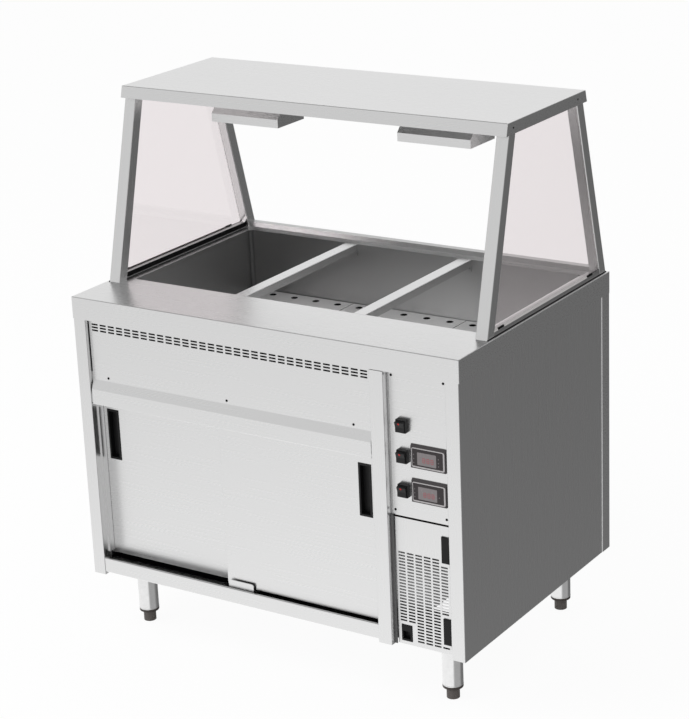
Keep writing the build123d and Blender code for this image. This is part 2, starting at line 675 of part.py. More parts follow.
def cupboard_inside():
    """Cupboard floor with strip heaters under it, the shelf and the angles that carry the shelf."""
    floor_y0 = FRONT + RAIL_UPSTAND + BODY_SHEET
    left = INSIDE_LEFT + BODY_SHEET
    right = PARTITION_X
    path = [
        (left, BASE_TOP),
        (left, RAIL_TOP),
        (right, RAIL_TOP),
        (right, BASE_TOP),
    ]
    floor = along_y(folded(path, -BODY_SHEET), floor_y0, INSIDE_REAR - BODY_SHEET)
    keep("cupboard_floor", floor)

    under = RAIL_TOP - BODY_SHEET
    heaters = []
    for share in (1, 2):
        y = floor_y0 + (INSIDE_REAR - floor_y0) * share / 3
        strip = block(
            left + HEATER_INSET, right - HEATER_INSET, y - HEATER_WIDTH / 2, y + HEATER_WIDTH / 2,
            under - HEATER_THICK, under,
        )
        terminals = block(
            right - HEATER_INSET - HEATER_WIDTH, right - HEATER_INSET, y - HEATER_WIDTH / 4,
            y + HEATER_WIDTH / 4, under - HEATER_TERMINAL, under - HEATER_THICK,
        )
        heaters.append(strip + terminals)
    keep("cupboard_heaters", *heaters)

    shelf_z = RAIL_TOP + SHELF_RISE
    y0 = FRONT + SHELF_FRONT
    y1 = INSIDE_REAR - SHELF_REAR
    shelf = block(
        INSIDE_LEFT + SEAT_GAP, PARTITION_X - SEAT_GAP, y0, y1,
        shelf_z, shelf_z + BODY_SHEET,
    )
    for y in (y0, y1 - BODY_SHEET):
        shelf += block(
            INSIDE_LEFT + SUPPORT_LEG + PLATE_GAP, PARTITION_X - SUPPORT_LEG - PLATE_GAP, y, y + BODY_SHEET,
            shelf_z - SHELF_EDGE, shelf_z,
        )
    keep("cupboard_shelf", shelf)

    angles = []
    for wall_x, side in ((INSIDE_LEFT, 1), (PARTITION_X, -1)):
        path = [
            (wall_x, shelf_z - SUPPORT_LEG),
            (wall_x, shelf_z),
            (wall_x + side * SUPPORT_LEG, shelf_z),
        ]
        angles.append(along_y(folded(path, -side * SUPPORT_SHEET), y0, y1))
    keep("shelf_angles", *angles)


def well():
    """Welded tank, perforated plates over the heating element, the element and the bars' rests."""
    outside = well_space(TANK_SHEET, TANK_FLOOR - TANK_SHEET, TANK_TOP)
    flange = well_space(TANK_FLANGE, TANK_TOP - TANK_SHEET, TANK_TOP)
    tank = outside + flange - well_space(0, TANK_FLOOR, TANK_TOP)
    z = TANK_FLOOR + WELL_ELEMENT_RISE
    reach = ELEMENT_RADIUS + ELEMENT_HOLE_GAP
    middle = (WELL_Y0 + WELL_Y1) / 2
    for side in (-1, 1):
        leg_y = middle + side * ELEMENT_BEND
        tank -= rod(reach, (WELL_X - TANK_SHEET, leg_y, z), (WELL_X + 2 * TANK_SHEET, leg_y, z))
    drain = (DRAIN_X, FRONT + DRAIN_SETBACK)
    tank -= rod(DRAIN_BORE, (*drain, TANK_FLOOR - 2 * TANK_SHEET), (*drain, TANK_FLOOR + TANK_SHEET))
    keep("well_element", hairpin(WELL_X + ELEMENT_TAIL, -WELL_X + WELL_ELEMENT_INSET, middle, z))

    rests = []
    for x in bar_places():
        for wall_y, side in ((WELL_Y0, 1), (WELL_Y1, -1)):
            z = BENCH_HEIGHT - BAR_HEIGHT
            path = [
                (wall_y, z - REST_DEPTH),
                (wall_y, z),
                (wall_y + side * REST_DEPTH, z),
            ]
            rests.append(
                along_x(folded(path, -side * REST_SHEET), x - BAR_WIDTH / 2, x + BAR_WIDTH / 2)
            )
    keep("well_tank", *welded_sheets(tank))
    keep("bar_rests", *rests)

    plates = []
    for index in range(BAY_COUNT):
        middle = (index - (BAY_COUNT - 1) / 2) * BAY_PITCH
        plates.extend(perforated_plate(middle))
    keep("well_plates", *plates)


def welded_sheets(tank):
    """Parts the tank at its welds: a floor, four flat walls and four rounded corner strips."""
    reach = WELL_X + TANK_FLANGE
    span = WELL_X - WELL_CORNER
    columns = [(-reach, -span), (-span, span), (span, reach)]
    rows = [
        (WELL_Y0 - TANK_FLANGE, WELL_Y0 + WELL_CORNER),
        (WELL_Y0 + WELL_CORNER, WELL_Y1 - WELL_CORNER),
        (WELL_Y1 - WELL_CORNER, WELL_Y1 + TANK_FLANGE),
    ]
    sheets = [
        tank & block(-reach, reach, rows[0][0], rows[2][1], TANK_FLOOR - TANK_SHEET, TANK_FLOOR)
    ]
    for column, (x0, x1) in enumerate(columns):
        for row, (y0, y1) in enumerate(rows):
            if column != 1 or row != 1:
                sheets.append(tank & block(x0, x1, y0, y1, TANK_FLOOR, TANK_TOP))
    return sheets


def bar_places():
    """Middle lines of the bars between the pan bays."""
    return [(index + 1 - BAY_COUNT / 2) * BAY_PITCH for index in range(BAY_COUNT - 1)]


def perforated_plate(middle):
    """One bay's plate, on a foot strip welded under its front and rear edges."""
    half = (BAY_PITCH - PLATE_GAP) / 2
    x0 = max(middle - half, -WELL_X + PLATE_WALL_GAP)
    x1 = min(middle + half, WELL_X - PLATE_WALL_GAP)
    y0 = WELL_Y0 + PLATE_WALL_GAP
    y1 = WELL_Y1 - PLATE_WALL_GAP
    plate = Pos((x0 + x1) / 2, (y0 + y1) / 2) * Rectangle(x1 - x0, y1 - y0)
    columns = int((BAY_PITCH - 2 * HOLE_EDGE) // HOLE_PITCH) + 1
    rows = int((y1 - y0 - 2 * HOLE_EDGE) // HOLE_ROW_PITCH) + 1
    row_pitch = (y1 - y0 - 2 * HOLE_EDGE) / (rows - 1)
    across = [middle + (column - (columns - 1) / 2) * HOLE_PITCH for column in range(columns)]
    plate -= [
        Pos(x, y1 - HOLE_EDGE - row * row_pitch) * RegularPolygon(HOLE_RADIUS, HOLE_SIDES)
        for x in across
        for row in range(rows)
        if min(x - x0, x1 - x) > HOLE_EDGE - HOLE_RADIUS
    ]
    feet = [
        block(x0 + WELL_CORNER, x1 - WELL_CORNER, y, y + PLATE_SHEET, TANK_FLOOR, PLATE_TOP - PLATE_SHEET)
        for y in (y0, y1 - PLATE_SHEET)
    ]
    return [extrude(Pos(0, 0, PLATE_TOP - PLATE_SHEET) * plate, amount=PLATE_SHEET), *feet]


def pan_bars():
    """Lift-out bars between the pans: inverted channels that sit on their rests, level with the bench."""
    for name, x in zip(("pan_bar_left", "pan_bar_right"), bar_places()):
        y0 = WELL_Y0 + BAR_END_GAP
        y1 = WELL_Y1 - BAR_END_GAP
        low = BENCH_HEIGHT - BAR_HEIGHT
        bar = block(x - BAR_WIDTH / 2, x + BAR_WIDTH / 2, y0, y1, low, BENCH_HEIGHT)
        bar = soften(bar, Axis.Y, (x - BAR_WIDTH / 2, 0, BENCH_HEIGHT), (x + BAR_WIDTH / 2, 0, BENCH_HEIGHT))
        bar -= block(
            x - BAR_WIDTH / 2 + BAR_SHEET, x + BAR_WIDTH / 2 - BAR_SHEET, y0, y1,
            low, BENCH_HEIGHT - BAR_SHEET,
        )
        keep(name, bar)


def drain():
    """Drain pipe from the tank's floor, its ball valve and the valve's lever."""
    x = DRAIN_X
    y = FRONT + DRAIN_SETBACK
    middle = BASE_TOP + VALVE_RISE
    top = middle + VALVE_LENGTH / 2
    low = middle - VALVE_LENGTH / 2
    pipes = []
    for z0, z1 in ((top, TANK_FLOOR - TANK_SHEET), (LEG_HEIGHT - DRAIN_TAIL, low)):
        pipes.append(rod(DRAIN_RADIUS, (x, y, z0), (x, y, z1)) - rod(DRAIN_BORE, (x, y, z0), (x, y, z1)))
    keep("drain_pipe", *pipes)

    neck = VALVE_LENGTH / 4
    outline = [
        (DRAIN_BORE, -VALVE_LENGTH / 2),
        (VALVE_RADIUS - 2, -VALVE_LENGTH / 2),
        (VALVE_RADIUS - 2, -neck),
        (VALVE_RADIUS, -neck),
        (VALVE_RADIUS, neck),
        (VALVE_RADIUS - 2, neck),
        (VALVE_RADIUS - 2, VALVE_LENGTH / 2),
        (DRAIN_BORE, VALVE_LENGTH / 2),
    ]
    valve = Pos(x, y, middle) * revolve(Plane.XZ * polygon(outline), axis=Axis.Z)
    stem_root = y - DRAIN_BORE - STEM_RADIUS / 2
    stem_end = y - VALVE_RADIUS - STEM_LENGTH
    valve += rod(STEM_RADIUS, (x, stem_root, middle), (x, stem_end, middle))
    keep("drain_valve", valve)

    lever_y = stem_end
    grip = Pos(LEVER_LENGTH / 2, 0) * SlotCenterToCenter(LEVER_LENGTH, LEVER_WIDTH)
    grip += Circle(LEVER_WIDTH)
    grip -= Circle(STEM_RADIUS + RUNNING_GAP)
    lever = extrude(
        Pos(x, lever_y + LEVER_THICK, middle) * (Plane.XZ * grip), amount=LEVER_THICK, dir=(0, -1, 0)
    )
    keep("drain_lever", lever)


def control_panel():
    """Control panel with its cut-outs, the switch bodies, the rockers and the controllers."""
    cutouts = []
    bodies = []
    switch_x = PANEL_LEFT + SWITCH_X
    for name, drop in zip(("rocker_upper", "rocker_middle", "rocker_lower"), SWITCH_DROPS):
        z = PANEL_TOP - drop
        cutouts.append(
            (switch_x, z, SWITCH_BODY_WIDTH + 2 * CUTOUT_GAP, SWITCH_BODY_HEIGHT + 2 * CUTOUT_GAP)
        )
        bodies.append(switch_body(switch_x, z))
        keep(name, rocker(switch_x, z))
    controllers = []
    for drop in CONTROLLER_DROPS:
        x = PANEL_LEFT + CONTROLLER_X
        z = PANEL_TOP - drop
        cutouts.append(
            (x, z, CONTROLLER_BODY_WIDTH + 2 * CUTOUT_GAP, CONTROLLER_BODY_HEIGHT + 2 * CUTOUT_GAP)
        )
        controllers.append(controller(x, z))
    sheet = slotted(PANEL_LEFT, PANEL_RIGHT, PANEL_BOTTOM, PANEL_TOP, cutouts)
    keep("control_panel", upright(sheet, PANEL_Y, PANEL_SHEET))
    keep("switch_bodies", *bodies)
    keep("controllers", *controllers)


def pivot_y():
    """Depth of the rockers' pivots, inside the raised bezels."""
    return PANEL_Y - PIVOT_PROUD


def switch_body(x, z):
    """Raised bezel with a round cradle that holds the rocker, and the switch's body behind the panel."""
    front = PANEL_Y - BEZEL_PROUD
    bezel = block(
        x - BEZEL_WIDTH / 2, x + BEZEL_WIDTH / 2, front, PANEL_Y, z - BEZEL_HEIGHT / 2, z + BEZEL_HEIGHT / 2
    )
    bezel = chamfer(bezel.faces().sort_by(Axis.Y)[0].edges(), BEZEL_EDGE)
    bezel += block(
        x - SWITCH_BODY_WIDTH / 2, x + SWITCH_BODY_WIDTH / 2, PANEL_Y, PANEL_Y + SWITCH_BODY_DEPTH,
        z - SWITCH_BODY_HEIGHT / 2, z + SWITCH_BODY_HEIGHT / 2,
    )
    half = ROCKER_WIDTH / 2 + ROCKER_GAP
    reach = ROCKER_RADIUS + ROCKER_GAP
    cradle = rod(reach, (x - half, pivot_y(), z), (x + half, pivot_y(), z))
    cradle &= block(x - half, x + half, front, PANEL_Y - BEZEL_BACK, z - reach, z + reach)
    return bezel - cradle


def rocker(x, z):
    """Rocker: two slanted faces over arcs about the pivot, tipped to one of its two positions."""
    root = math.sqrt(ROCKER_RADIUS**2 - ROCKER_ROOT**2)
    edge = math.sqrt(ROCKER_RADIUS**2 - ROCKER_SHOULDER**2)
    tip = ROCKER_CREST_HALF
    valley = ROCKER_CREST - tip * math.tan(math.radians(ROCKER_TILT))
    side = [
        Line((ROCKER_ROOT, -root), (ROCKER_ROOT, root)),
        ThreePointArc((ROCKER_ROOT, root), (0, ROCKER_RADIUS), (-ROCKER_SHOULDER, edge)),
        Polyline(
            (-ROCKER_SHOULDER, edge), (-ROCKER_CREST, tip), (-valley, 0),
            (-ROCKER_CREST, -tip), (-ROCKER_SHOULDER, -edge),
        ),
        ThreePointArc((-ROCKER_SHOULDER, -edge), (0, -ROCKER_RADIUS), (ROCKER_ROOT, -root)),
    ]
    face = make_face(side)
    solid = extrude(Plane.YZ * face, amount=ROCKER_WIDTH / 2, both=True)
    return Pos(x, pivot_y(), z) * (Rot(ROCKER_TILT, 0, 0) * solid)


def controller(x, z):
    """Digital controller: a bezel with a sloped brow over its sunk face, and its case behind the panel."""
    front = PANEL_Y - CONTROLLER_PROUD
    low = z - CONTROLLER_HEIGHT / 2
    high = z + CONTROLLER_HEIGHT / 2
    outline = [
        (PANEL_Y, low),
        (front, low),
        (front, high - CONTROLLER_BROW),
        (front + CONTROLLER_BROW_DEPTH, high),
        (PANEL_Y, high),
    ]
    case = along_x(outline, x - CONTROLLER_WIDTH / 2, x + CONTROLLER_WIDTH / 2)
    rim = case.faces().sort_by(Axis.Y)[0].edges()
    case = chamfer(rim.filter_by(Axis.Z) + rim.sort_by(Axis.Z)[:1], CONTROLLER_EDGE)
    inset = CONTROLLER_FRAME
    case -= block(
        x - CONTROLLER_WIDTH / 2 + inset, x + CONTROLLER_WIDTH / 2 - inset, front,
        front + CONTROLLER_RECESS, low + inset, high - CONTROLLER_BROW,
    )
    return case + block(
        x - CONTROLLER_BODY_WIDTH / 2, x + CONTROLLER_BODY_WIDTH / 2, PANEL_Y,
        PANEL_Y + CONTROLLER_BODY_DEPTH, z - CONTROLLER_BODY_HEIGHT / 2, z + CONTROLLER_BODY_HEIGHT / 2,
    )


def vent_door():
    """Hinged grille door of the control bay, with its finger pull, hinges and magnetic catch."""
    x0 = DIVIDER_RIGHT + VENT_DOOR_GAP
    x1 = STILE_RIGHT - VENT_DOOR_HINGE_GAP
    z0 = LEG_HEIGHT + VENT_DOOR_RISE
    z1 = PANEL_BOTTOM - VENT_DOOR_TOP_GAP
    pull_x = x0 + FINGER_PULL_X
    pull_z = z0 + FINGER_PULL_RISE
    hinge_z = hinge_places(z0, z1)
    blocked = [(pull_x, pull_z, FINGER_PULL_WIDTH, FINGER_PULL_HEIGHT)]
    blocked += [(x1 - HINGE_LEAF / 2, z, HINGE_LEAF, HINGE_HEIGHT) for z in hinge_z]
    slots = []
    for column in range(GRILLE_COLUMNS):
        for row in range(GRILLE_ROWS):
            u = (x0 + x1) / 2 + (column - (GRILLE_COLUMNS - 1) / 2) * GRILLE_PITCH_X
            v = z0 + GRILLE_BOTTOM + row * GRILLE_PITCH_Z
            if all(clear_of(u, v, keep_out) for keep_out in blocked):
                slots.append((u, v, GRILLE_SLOT_LENGTH, GRILLE_SLOT_HEIGHT))
    pocket = FINGER_POCKET + 2 * PULL_WALL
    pocket_z = pull_z - FINGER_POCKET_DROP
    cut = (pull_x, pocket_z, pocket + 2 * SEAT_GAP, pocket + 2 * SEAT_GAP)
    sheet = slotted(x0, x1, z0, z1, slots + [cut])
    door = upright(sheet, PANEL_Y, BODY_SHEET)
    edge = block(x0, x1, PANEL_Y + BODY_SHEET, PANEL_Y + VENT_DOOR_EDGE, z0, z1)
    edge -= block(
        x0 + BODY_SHEET, x1 - BODY_SHEET, PANEL_Y + BODY_SHEET, PANEL_Y + VENT_DOOR_EDGE,
        z0 + BODY_SHEET, z1 - BODY_SHEET,
    )
    keep("vent_door", door + edge)

    front = PANEL_Y - FINGER_PULL_PROUD
    pull = block(
        pull_x - FINGER_PULL_WIDTH / 2, pull_x + FINGER_PULL_WIDTH / 2, front, PANEL_Y,
        pull_z - FINGER_PULL_HEIGHT / 2, pull_z + FINGER_PULL_HEIGHT / 2,
    )
    pull = chamfer(pull.faces().sort_by(Axis.Y)[0].edges(), FINGER_PULL_PROUD / 2)
    pull += block(
        pull_x - pocket / 2, pull_x + pocket / 2, PANEL_Y, PANEL_Y + FINGER_POCKET_DEPTH + PULL_WALL,
        pocket_z - pocket / 2, pocket_z + pocket / 2,
    )
    pull -= block(
        pull_x - FINGER_POCKET / 2, pull_x + FINGER_POCKET / 2, front, PANEL_Y + FINGER_POCKET_DEPTH,
        pocket_z - FINGER_POCKET / 2, pocket_z + FINGER_POCKET / 2,
    )
    keep("vent_door_pull", pull)

    catch_y = PANEL_Y + VENT_DOOR_EDGE + SEAT_GAP
    keep(
        "door_catch",
        block(
            pull_x - CATCH_WIDTH / 2, pull_x + CATCH_WIDTH / 2, catch_y, catch_y + CATCH_DEPTH,
            BASE_TOP, BASE_TOP + CATCH_HEIGHT,
        ),
    )
    hinges(x1, hinge_z)


def hinge_places(z0, z1):
    """Middle heights of the vent door's two hinges."""
    return [z0 + HINGE_INSET_LOW + HINGE_HEIGHT / 2, z1 - HINGE_INSET_HIGH - HINGE_HEIGHT / 2]


def clear_of(u, v, keep_out):
    """True where a grille slot at (u, v) stays clear of a fitting's outline."""
    x, z, width, height = keep_out
    beside = abs(u - x) > (width + GRILLE_SLOT_LENGTH) / 2
    above = abs(v - z) > (height + GRILLE_SLOT_HEIGHT) / 2 + GRILLE_CLEAR
    return beside or above


def hinges(door_edge, places):
    """Lift-off hinges: the frame's half carries the pin, and the door's half stands over it."""
    axis_x = STILE_RIGHT - KNUCKLE_X
    axis_y = PANEL_Y - HINGE_THICK / 2
    door_leaves = []
    frame_leaves = []
    for z in places:
        low = z - HINGE_HEIGHT / 2
        high = z + HINGE_HEIGHT / 2
        axis = [(axis_x, axis_y, level) for level in (low, z, z + KNUCKLE_GAP, high)]
        leaf = block(door_edge - HINGE_LEAF, door_edge, PANEL_Y - HINGE_THICK, PANEL_Y, low, high)
        leaf = chamfer(leaf.faces().sort_by(Axis.Y)[0].edges(), HINGE_THICK / 4)
        leaf += block(
            door_edge - HINGE_THICK, axis_x, PANEL_Y - HINGE_THICK, PANEL_Y - HINGE_THICK / 2,
            z + KNUCKLE_GAP, high,
        )
        leaf += rod(KNUCKLE_RADIUS, axis[2], axis[3])
        door_leaves.append(leaf - rod(PIN_RADIUS + RUNNING_GAP, axis[2], axis[3]))

        leaf = block(
            STILE_RIGHT - HINGE_THICK / 4, STILE_RIGHT, FRONT + 2 * BODY_SHEET, FRONT + STILE_RETURN,
            low, high,
        )
        leaf += block(axis_x, STILE_RIGHT, axis_y - HINGE_THICK / 4, axis_y + HINGE_THICK / 4, low, z)
        leaf += rod(KNUCKLE_RADIUS, axis[0], axis[1]) + rod(PIN_RADIUS, axis[1], axis[3])
        frame_leaves.append(leaf)
    keep("hinge_door_leaves", *door_leaves)
    keep("hinge_frame_leaves", *frame_leaves)


def control_gear():
    """Mounting plate on the partition, with two contactors and a terminal block, and the mains gland."""
    x0 = PARTITION_X + BODY_SHEET
    x1 = x0 + GEAR_PLATE_SHEET
    y1 = REAR - GEAR_PLATE_SETBACK
    y0 = y1 - GEAR_PLATE_DEPTH
    z0 = BASE_TOP + GEAR_PLATE_RISE
    z1 = z0 + GEAR_PLATE_HEIGHT
    keep("gear_plate", block(x0, x1, y0, y1, z0, z1))

    middle = (y0 + y1) / 2
    gear = []
    for side in (-1, 1):
        y = middle + side * CONTACTOR[1] * 0.6
        z = z1 - CONTACTOR[2] * 0.75
        base = block(
            x1, x1 + CONTACTOR[0] * 0.6, y - CONTACTOR[1] / 2, y + CONTACTOR[1] / 2,
            z - CONTACTOR[2] / 2, z + CONTACTOR[2] / 2,
        )
        nose = block(
            x1, x1 + CONTACTOR[0], y - CONTACTOR[1] / 2, y + CONTACTOR[1] / 2,
            z - CONTACTOR[2] / 4, z + CONTACTOR[2] / 4,
        )
        gear.append(base + nose)
    z = z0 + TERMINAL[2]
    gear.append(
        block(
            x1, x1 + TERMINAL[0], middle - TERMINAL[1] / 2, middle + TERMINAL[1] / 2,
            z - TERMINAL[2] / 2, z + TERMINAL[2] / 2,
        )
    )
    keep("control_gear", *gear)

    nut = RegularPolygon(GLAND_NUT, 6)
    gland = extrude(Pos(*gland_place(LEG_HEIGHT - LEG_PLATE_THICK * 2)) * nut, amount=LEG_PLATE_THICK * 2)
    gland += extrude(Pos(*gland_place(BASE_TOP)) * nut, amount=LEG_PLATE_THICK * 2)
    gland += rod(
        GLAND_RADIUS, gland_place(LEG_HEIGHT - LEG_PLUG), gland_place(BASE_TOP + LEG_PLUG)
    )
    gland -= rod(
        GLAND_RADIUS / 2, gland_place(LEG_HEIGHT - LEG_PLUG), gland_place(BASE_TOP + LEG_PLUG)
    )
    keep("mains_gland", gland)


def post_y(end, z):
    """Outer face of the front (-1) or rear (1) posts at a height: both lean towards each other."""
    foot = FRONT + POST_FOOT_FRONT if end < 0 else REAR - POST_FOOT_REAR
    return foot - end * POST_LEAN * (z - BENCH_HEIGHT)


def leaning(end, inset, span, z0, z1):
    """Outline of a leaning strip: a post's face moved inwards by inset, and span deep."""
    low = post_y(end, z0) - end * inset
    high = post_y(end, z1) - end * inset
    return [(low, z0), (high, z1), (high - end * span, z1), (low - end * span, z0)]


def gantry():
    """Side frames of leaning posts with glass between them, base rails and the folded shelf."""
    top = GANTRY_HEIGHT - TOP_SHEET
    wall = POST_WALL * math.hypot(1, POST_LEAN)
    for name, side in (("posts_left", -1), ("posts_right", 1)):
        posts = []
        x0 = min(side * POST_X, side * (POST_X - POST_SIZE))
        for end in (-1, 1):
            post = along_x(leaning(end, 0, POST_SIZE, BENCH_HEIGHT, top), x0, x0 + POST_SIZE)
            post = fillet(post.edges().group_by(SortBy.LENGTH)[-1], POST_CORNER)
            bore = leaning(end, wall, POST_SIZE - 2 * wall, BENCH_HEIGHT, top)
            posts.append(post - along_x(bore, x0 + POST_WALL, x0 + POST_SIZE - POST_WALL))
        keep(name, *posts)

    rail_top = BENCH_HEIGHT + RAIL_HEIGHT
    panes = []
    rails = []
    for side in (-1, 1):
        outer = side * POST_X
        inner = side * (POST_X - RAIL_WIDTH)
        rail = along_x(
            between_posts(0, BENCH_HEIGHT, rail_top), min(outer, inner), max(outer, inner)
        )
        groove = GLASS_THICK / 2 + GLASS_GROOVE_GAP
        middle = outer - side * (GLASS_LIP + groove)
        rail -= block(
            middle - groove, middle + groove, FRONT, REAR, rail_top - GLASS_GROOVE_DEPTH, rail_top
        )
        rails.append(rail)
        glass_low = rail_top - GLASS_GROOVE_DEPTH + SEAT_GAP
        pane = between_posts(GLASS_POST_GAP, glass_low, SHELF_BOTTOM - GLASS_TOP_GAP)
        panes.append(along_x(pane, middle - GLASS_THICK / 2, middle + GLASS_THICK / 2))
    rear_face = REAR - POST_FOOT_REAR
    cross = POST_X - POST_SIZE
    lift = POST_LEAN * RAIL_HEIGHT
    rear_rail = along_x(
        [
            (rear_face, BENCH_HEIGHT),
            (rear_face - lift, rail_top),
            (rear_face - lift - RAIL_WIDTH, rail_top),
            (rear_face - RAIL_WIDTH, BENCH_HEIGHT),
        ],
        -cross, cross,
    )
    rails.append(rear_rail)
    keep("base_rails", *rails)
    keep("glass_panes", *panes)

    end_x = POST_X + SHELF_END_GAP + TOP_SHEET
    shelf = along_x(shelf_outline(SHELF_OVERHANG, GANTRY_HEIGHT), -end_x, end_x)
    shelf = fillet(shelf.faces().sort_by(Axis.Z)[-1].edges(), FOLD_RADIUS)
    shelf -= along_x(
        shelf_outline(SHELF_OVERHANG - TOP_SHEET, top), -end_x + TOP_SHEET, end_x - TOP_SHEET
    )
    keep("gantry_shelf", shelf)


def between_posts(gap, z0, z1):
    """Outline of the space between a side frame's two posts, less a gap at each."""
    front = [post_y(-1, z) + POST_SIZE + gap for z in (z0, z1)]
    rear = [post_y(1, z) - POST_SIZE - gap for z in (z0, z1)]
    return [(front[0], z0), (front[1], z1), (rear[1], z1), (rear[0], z0)]


def shelf_outline(overhang, top):
    """Outline of the gantry shelf, whose front and rear edges lean with the posts."""
    return [
        (post_y(-1, SHELF_BOTTOM) - overhang, SHELF_BOTTOM),
        (post_y(-1, top) - overhang, top),
        (post_y(1, top) + overhang, top),
        (post_y(1, SHELF_BOTTOM) + overhang, SHELF_BOTTOM),
    ]


def heat_lamps():
    """Lamp hoods hung on stems under the shelf, each with a quartz tube between its ends."""
    low = SHELF_BOTTOM - LAMP_BOTTOM
    top = low + LAMP_LIP + LAMP_SLOPE
    hoods = []
    tubes = []
    stems = []
    for x in (-LAMP_X, LAMP_X):
        x0 = x - LAMP_LENGTH / 2
        x1 = x + LAMP_LENGTH / 2
        hood = along_x(hood_outline(0, low, top), x0, x1)
        hood -= along_x(
            hood_outline(LAMP_SHEET, low, top - LAMP_SHEET), x0 + LAMP_SHEET, x1 - LAMP_SHEET
        )
        hoods.append(hood)
        z = low + LAMP_TUBE_RISE
        tube = rod(LAMP_TUBE_RADIUS, (x0 + LAMP_SHEET, GANTRY_Y, z), (x1 - LAMP_SHEET, GANTRY_Y, z))
        for start in (x0 + LAMP_SHEET, x1 - LAMP_SHEET - LAMP_CAP_LENGTH):
            tube += rod(LAMP_CAP_RADIUS, (start, GANTRY_Y, z), (start + LAMP_CAP_LENGTH, GANTRY_Y, z))
        tubes.append(tube)
        for side in (-1, 1):
            stem_x = x + side * LAMP_STEM_SPACING / 2
            stems.append(
                rod(LAMP_STEM_RADIUS, (stem_x, GANTRY_Y, top), (stem_x, GANTRY_Y, GANTRY_HEIGHT - TOP_SHEET))
            )
    keep("lamp_hoods", *hoods)
    keep("lamp_tubes", *tubes)
    keep("lamp_stems", *stems)


def hood_outline(inset, low, top):
    """Outline of a lamp hood: upright lips, then sides that slope in to a flat top."""
    half = LAMP_DEPTH / 2 - inset
    shoulder = low + LAMP_LIP - inset * 0.4
    crown = half - LAMP_SLOPE - inset * 0.4
    return [
        (GANTRY_Y - half, low),
        (GANTRY_Y - half, shoulder),
        (GANTRY_Y - crown, top),
        (GANTRY_Y + crown, top),
        (GANTRY_Y + half, shoulder),
        (GANTRY_Y + half, low),
    ]


def legs():
    """Tube legs with a plate at the top and a threaded plug at the foot, and the adjustable feet."""
    tubes = []
    for name, x, y in leg_places():
        tube = rod(LEG_RADIUS, (x, y, FOOT_HEIGHT), (x, y, LEG_HEIGHT - LEG_PLATE_THICK))
        tube -= rod(
            LEG_RADIUS - LEG_WALL, (x, y, FOOT_HEIGHT + LEG_PLUG), (x, y, LEG_HEIGHT - LEG_PLATE_THICK)
        )
        tube -= rod(FOOT_STEM_RADIUS + FOOT_STEM_GAP, (x, y, FOOT_HEIGHT), (x, y, FOOT_HEIGHT + LEG_PLUG))
        plate = block(
            x - LEG_PLATE / 2, x + LEG_PLATE / 2, y - LEG_PLATE / 2, y + LEG_PLATE / 2,
            LEG_HEIGHT - LEG_PLATE_THICK, LEG_HEIGHT,
        )
        tubes.append(tube + plate)
        keep(name, foot(x, y))
    keep("legs", *tubes)


def leg_places():
    """Name and place of each foot."""
    x = WIDTH / 2 - LEG_INSET_X
    y = DEPTH / 2 - LEG_INSET_Y
    return [
        ("foot_front_left", -x, -y),
        ("foot_front_right", x, -y),
        ("foot_rear_left", -x, y),
        ("foot_rear_right", x, y),
    ]


def foot(x, y):
    """Adjustable foot: a pad, a cone up to the leg's end and a threaded stem into the plug."""
    outline = [
        (0, 0),
        (FOOT_PAD_RADIUS, 0),
        (FOOT_PAD_RADIUS, FOOT_PAD_HEIGHT),
        (FOOT_COLLAR_RADIUS, FOOT_HEIGHT),
        (FOOT_STEM_RADIUS, FOOT_HEIGHT),
        (FOOT_STEM_RADIUS, FOOT_HEIGHT + FOOT_STEM_LENGTH),
        (0, FOOT_HEIGHT + FOOT_STEM_LENGTH),
    ]
    return Pos(x, y, 0) * revolve(Plane.XZ * polygon(outline), axis=Axis.Z)


def main():
    """Builds every piece and writes one STEP file for each node."""
    bench_top()
    cabinet_shell()
    vent_fascia()
    door_track()
    sliding_door("left_door", OPENING_LEFT - DOOR_TUCK, REAR_DOOR_Y, -1)
    sliding_door("right_door", DIVIDER_LEFT + DOOR_TUCK - DOOR_WIDTH, FRONT_DOOR_Y, 1)
    bottom_rail()
    cupboard_inside()
    well()
    pan_bars()
    drain()
    control_panel()
    vent_door()
    control_gear()
    gantry()
    heat_lamps()
    legs()
    os.makedirs("parts", exist_ok=True)
    for name, shape in PARTS.items():
        export_step(shape, f"parts/{name}.step")


if __name__ == "__main__":
    main()
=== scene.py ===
"""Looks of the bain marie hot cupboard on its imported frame.

The frame's pieces come in metres, +Z up, with the doors facing -Y. Sizes written here are millimetres.
Each sub-assembly dresses its own pieces and adds the fittings that are too fine for the CAD model.
"""

from __future__ import annotations

import json
import logging
import math
from dataclasses import dataclass
from enum import Enum
from typing import Any, Iterable, Sequence

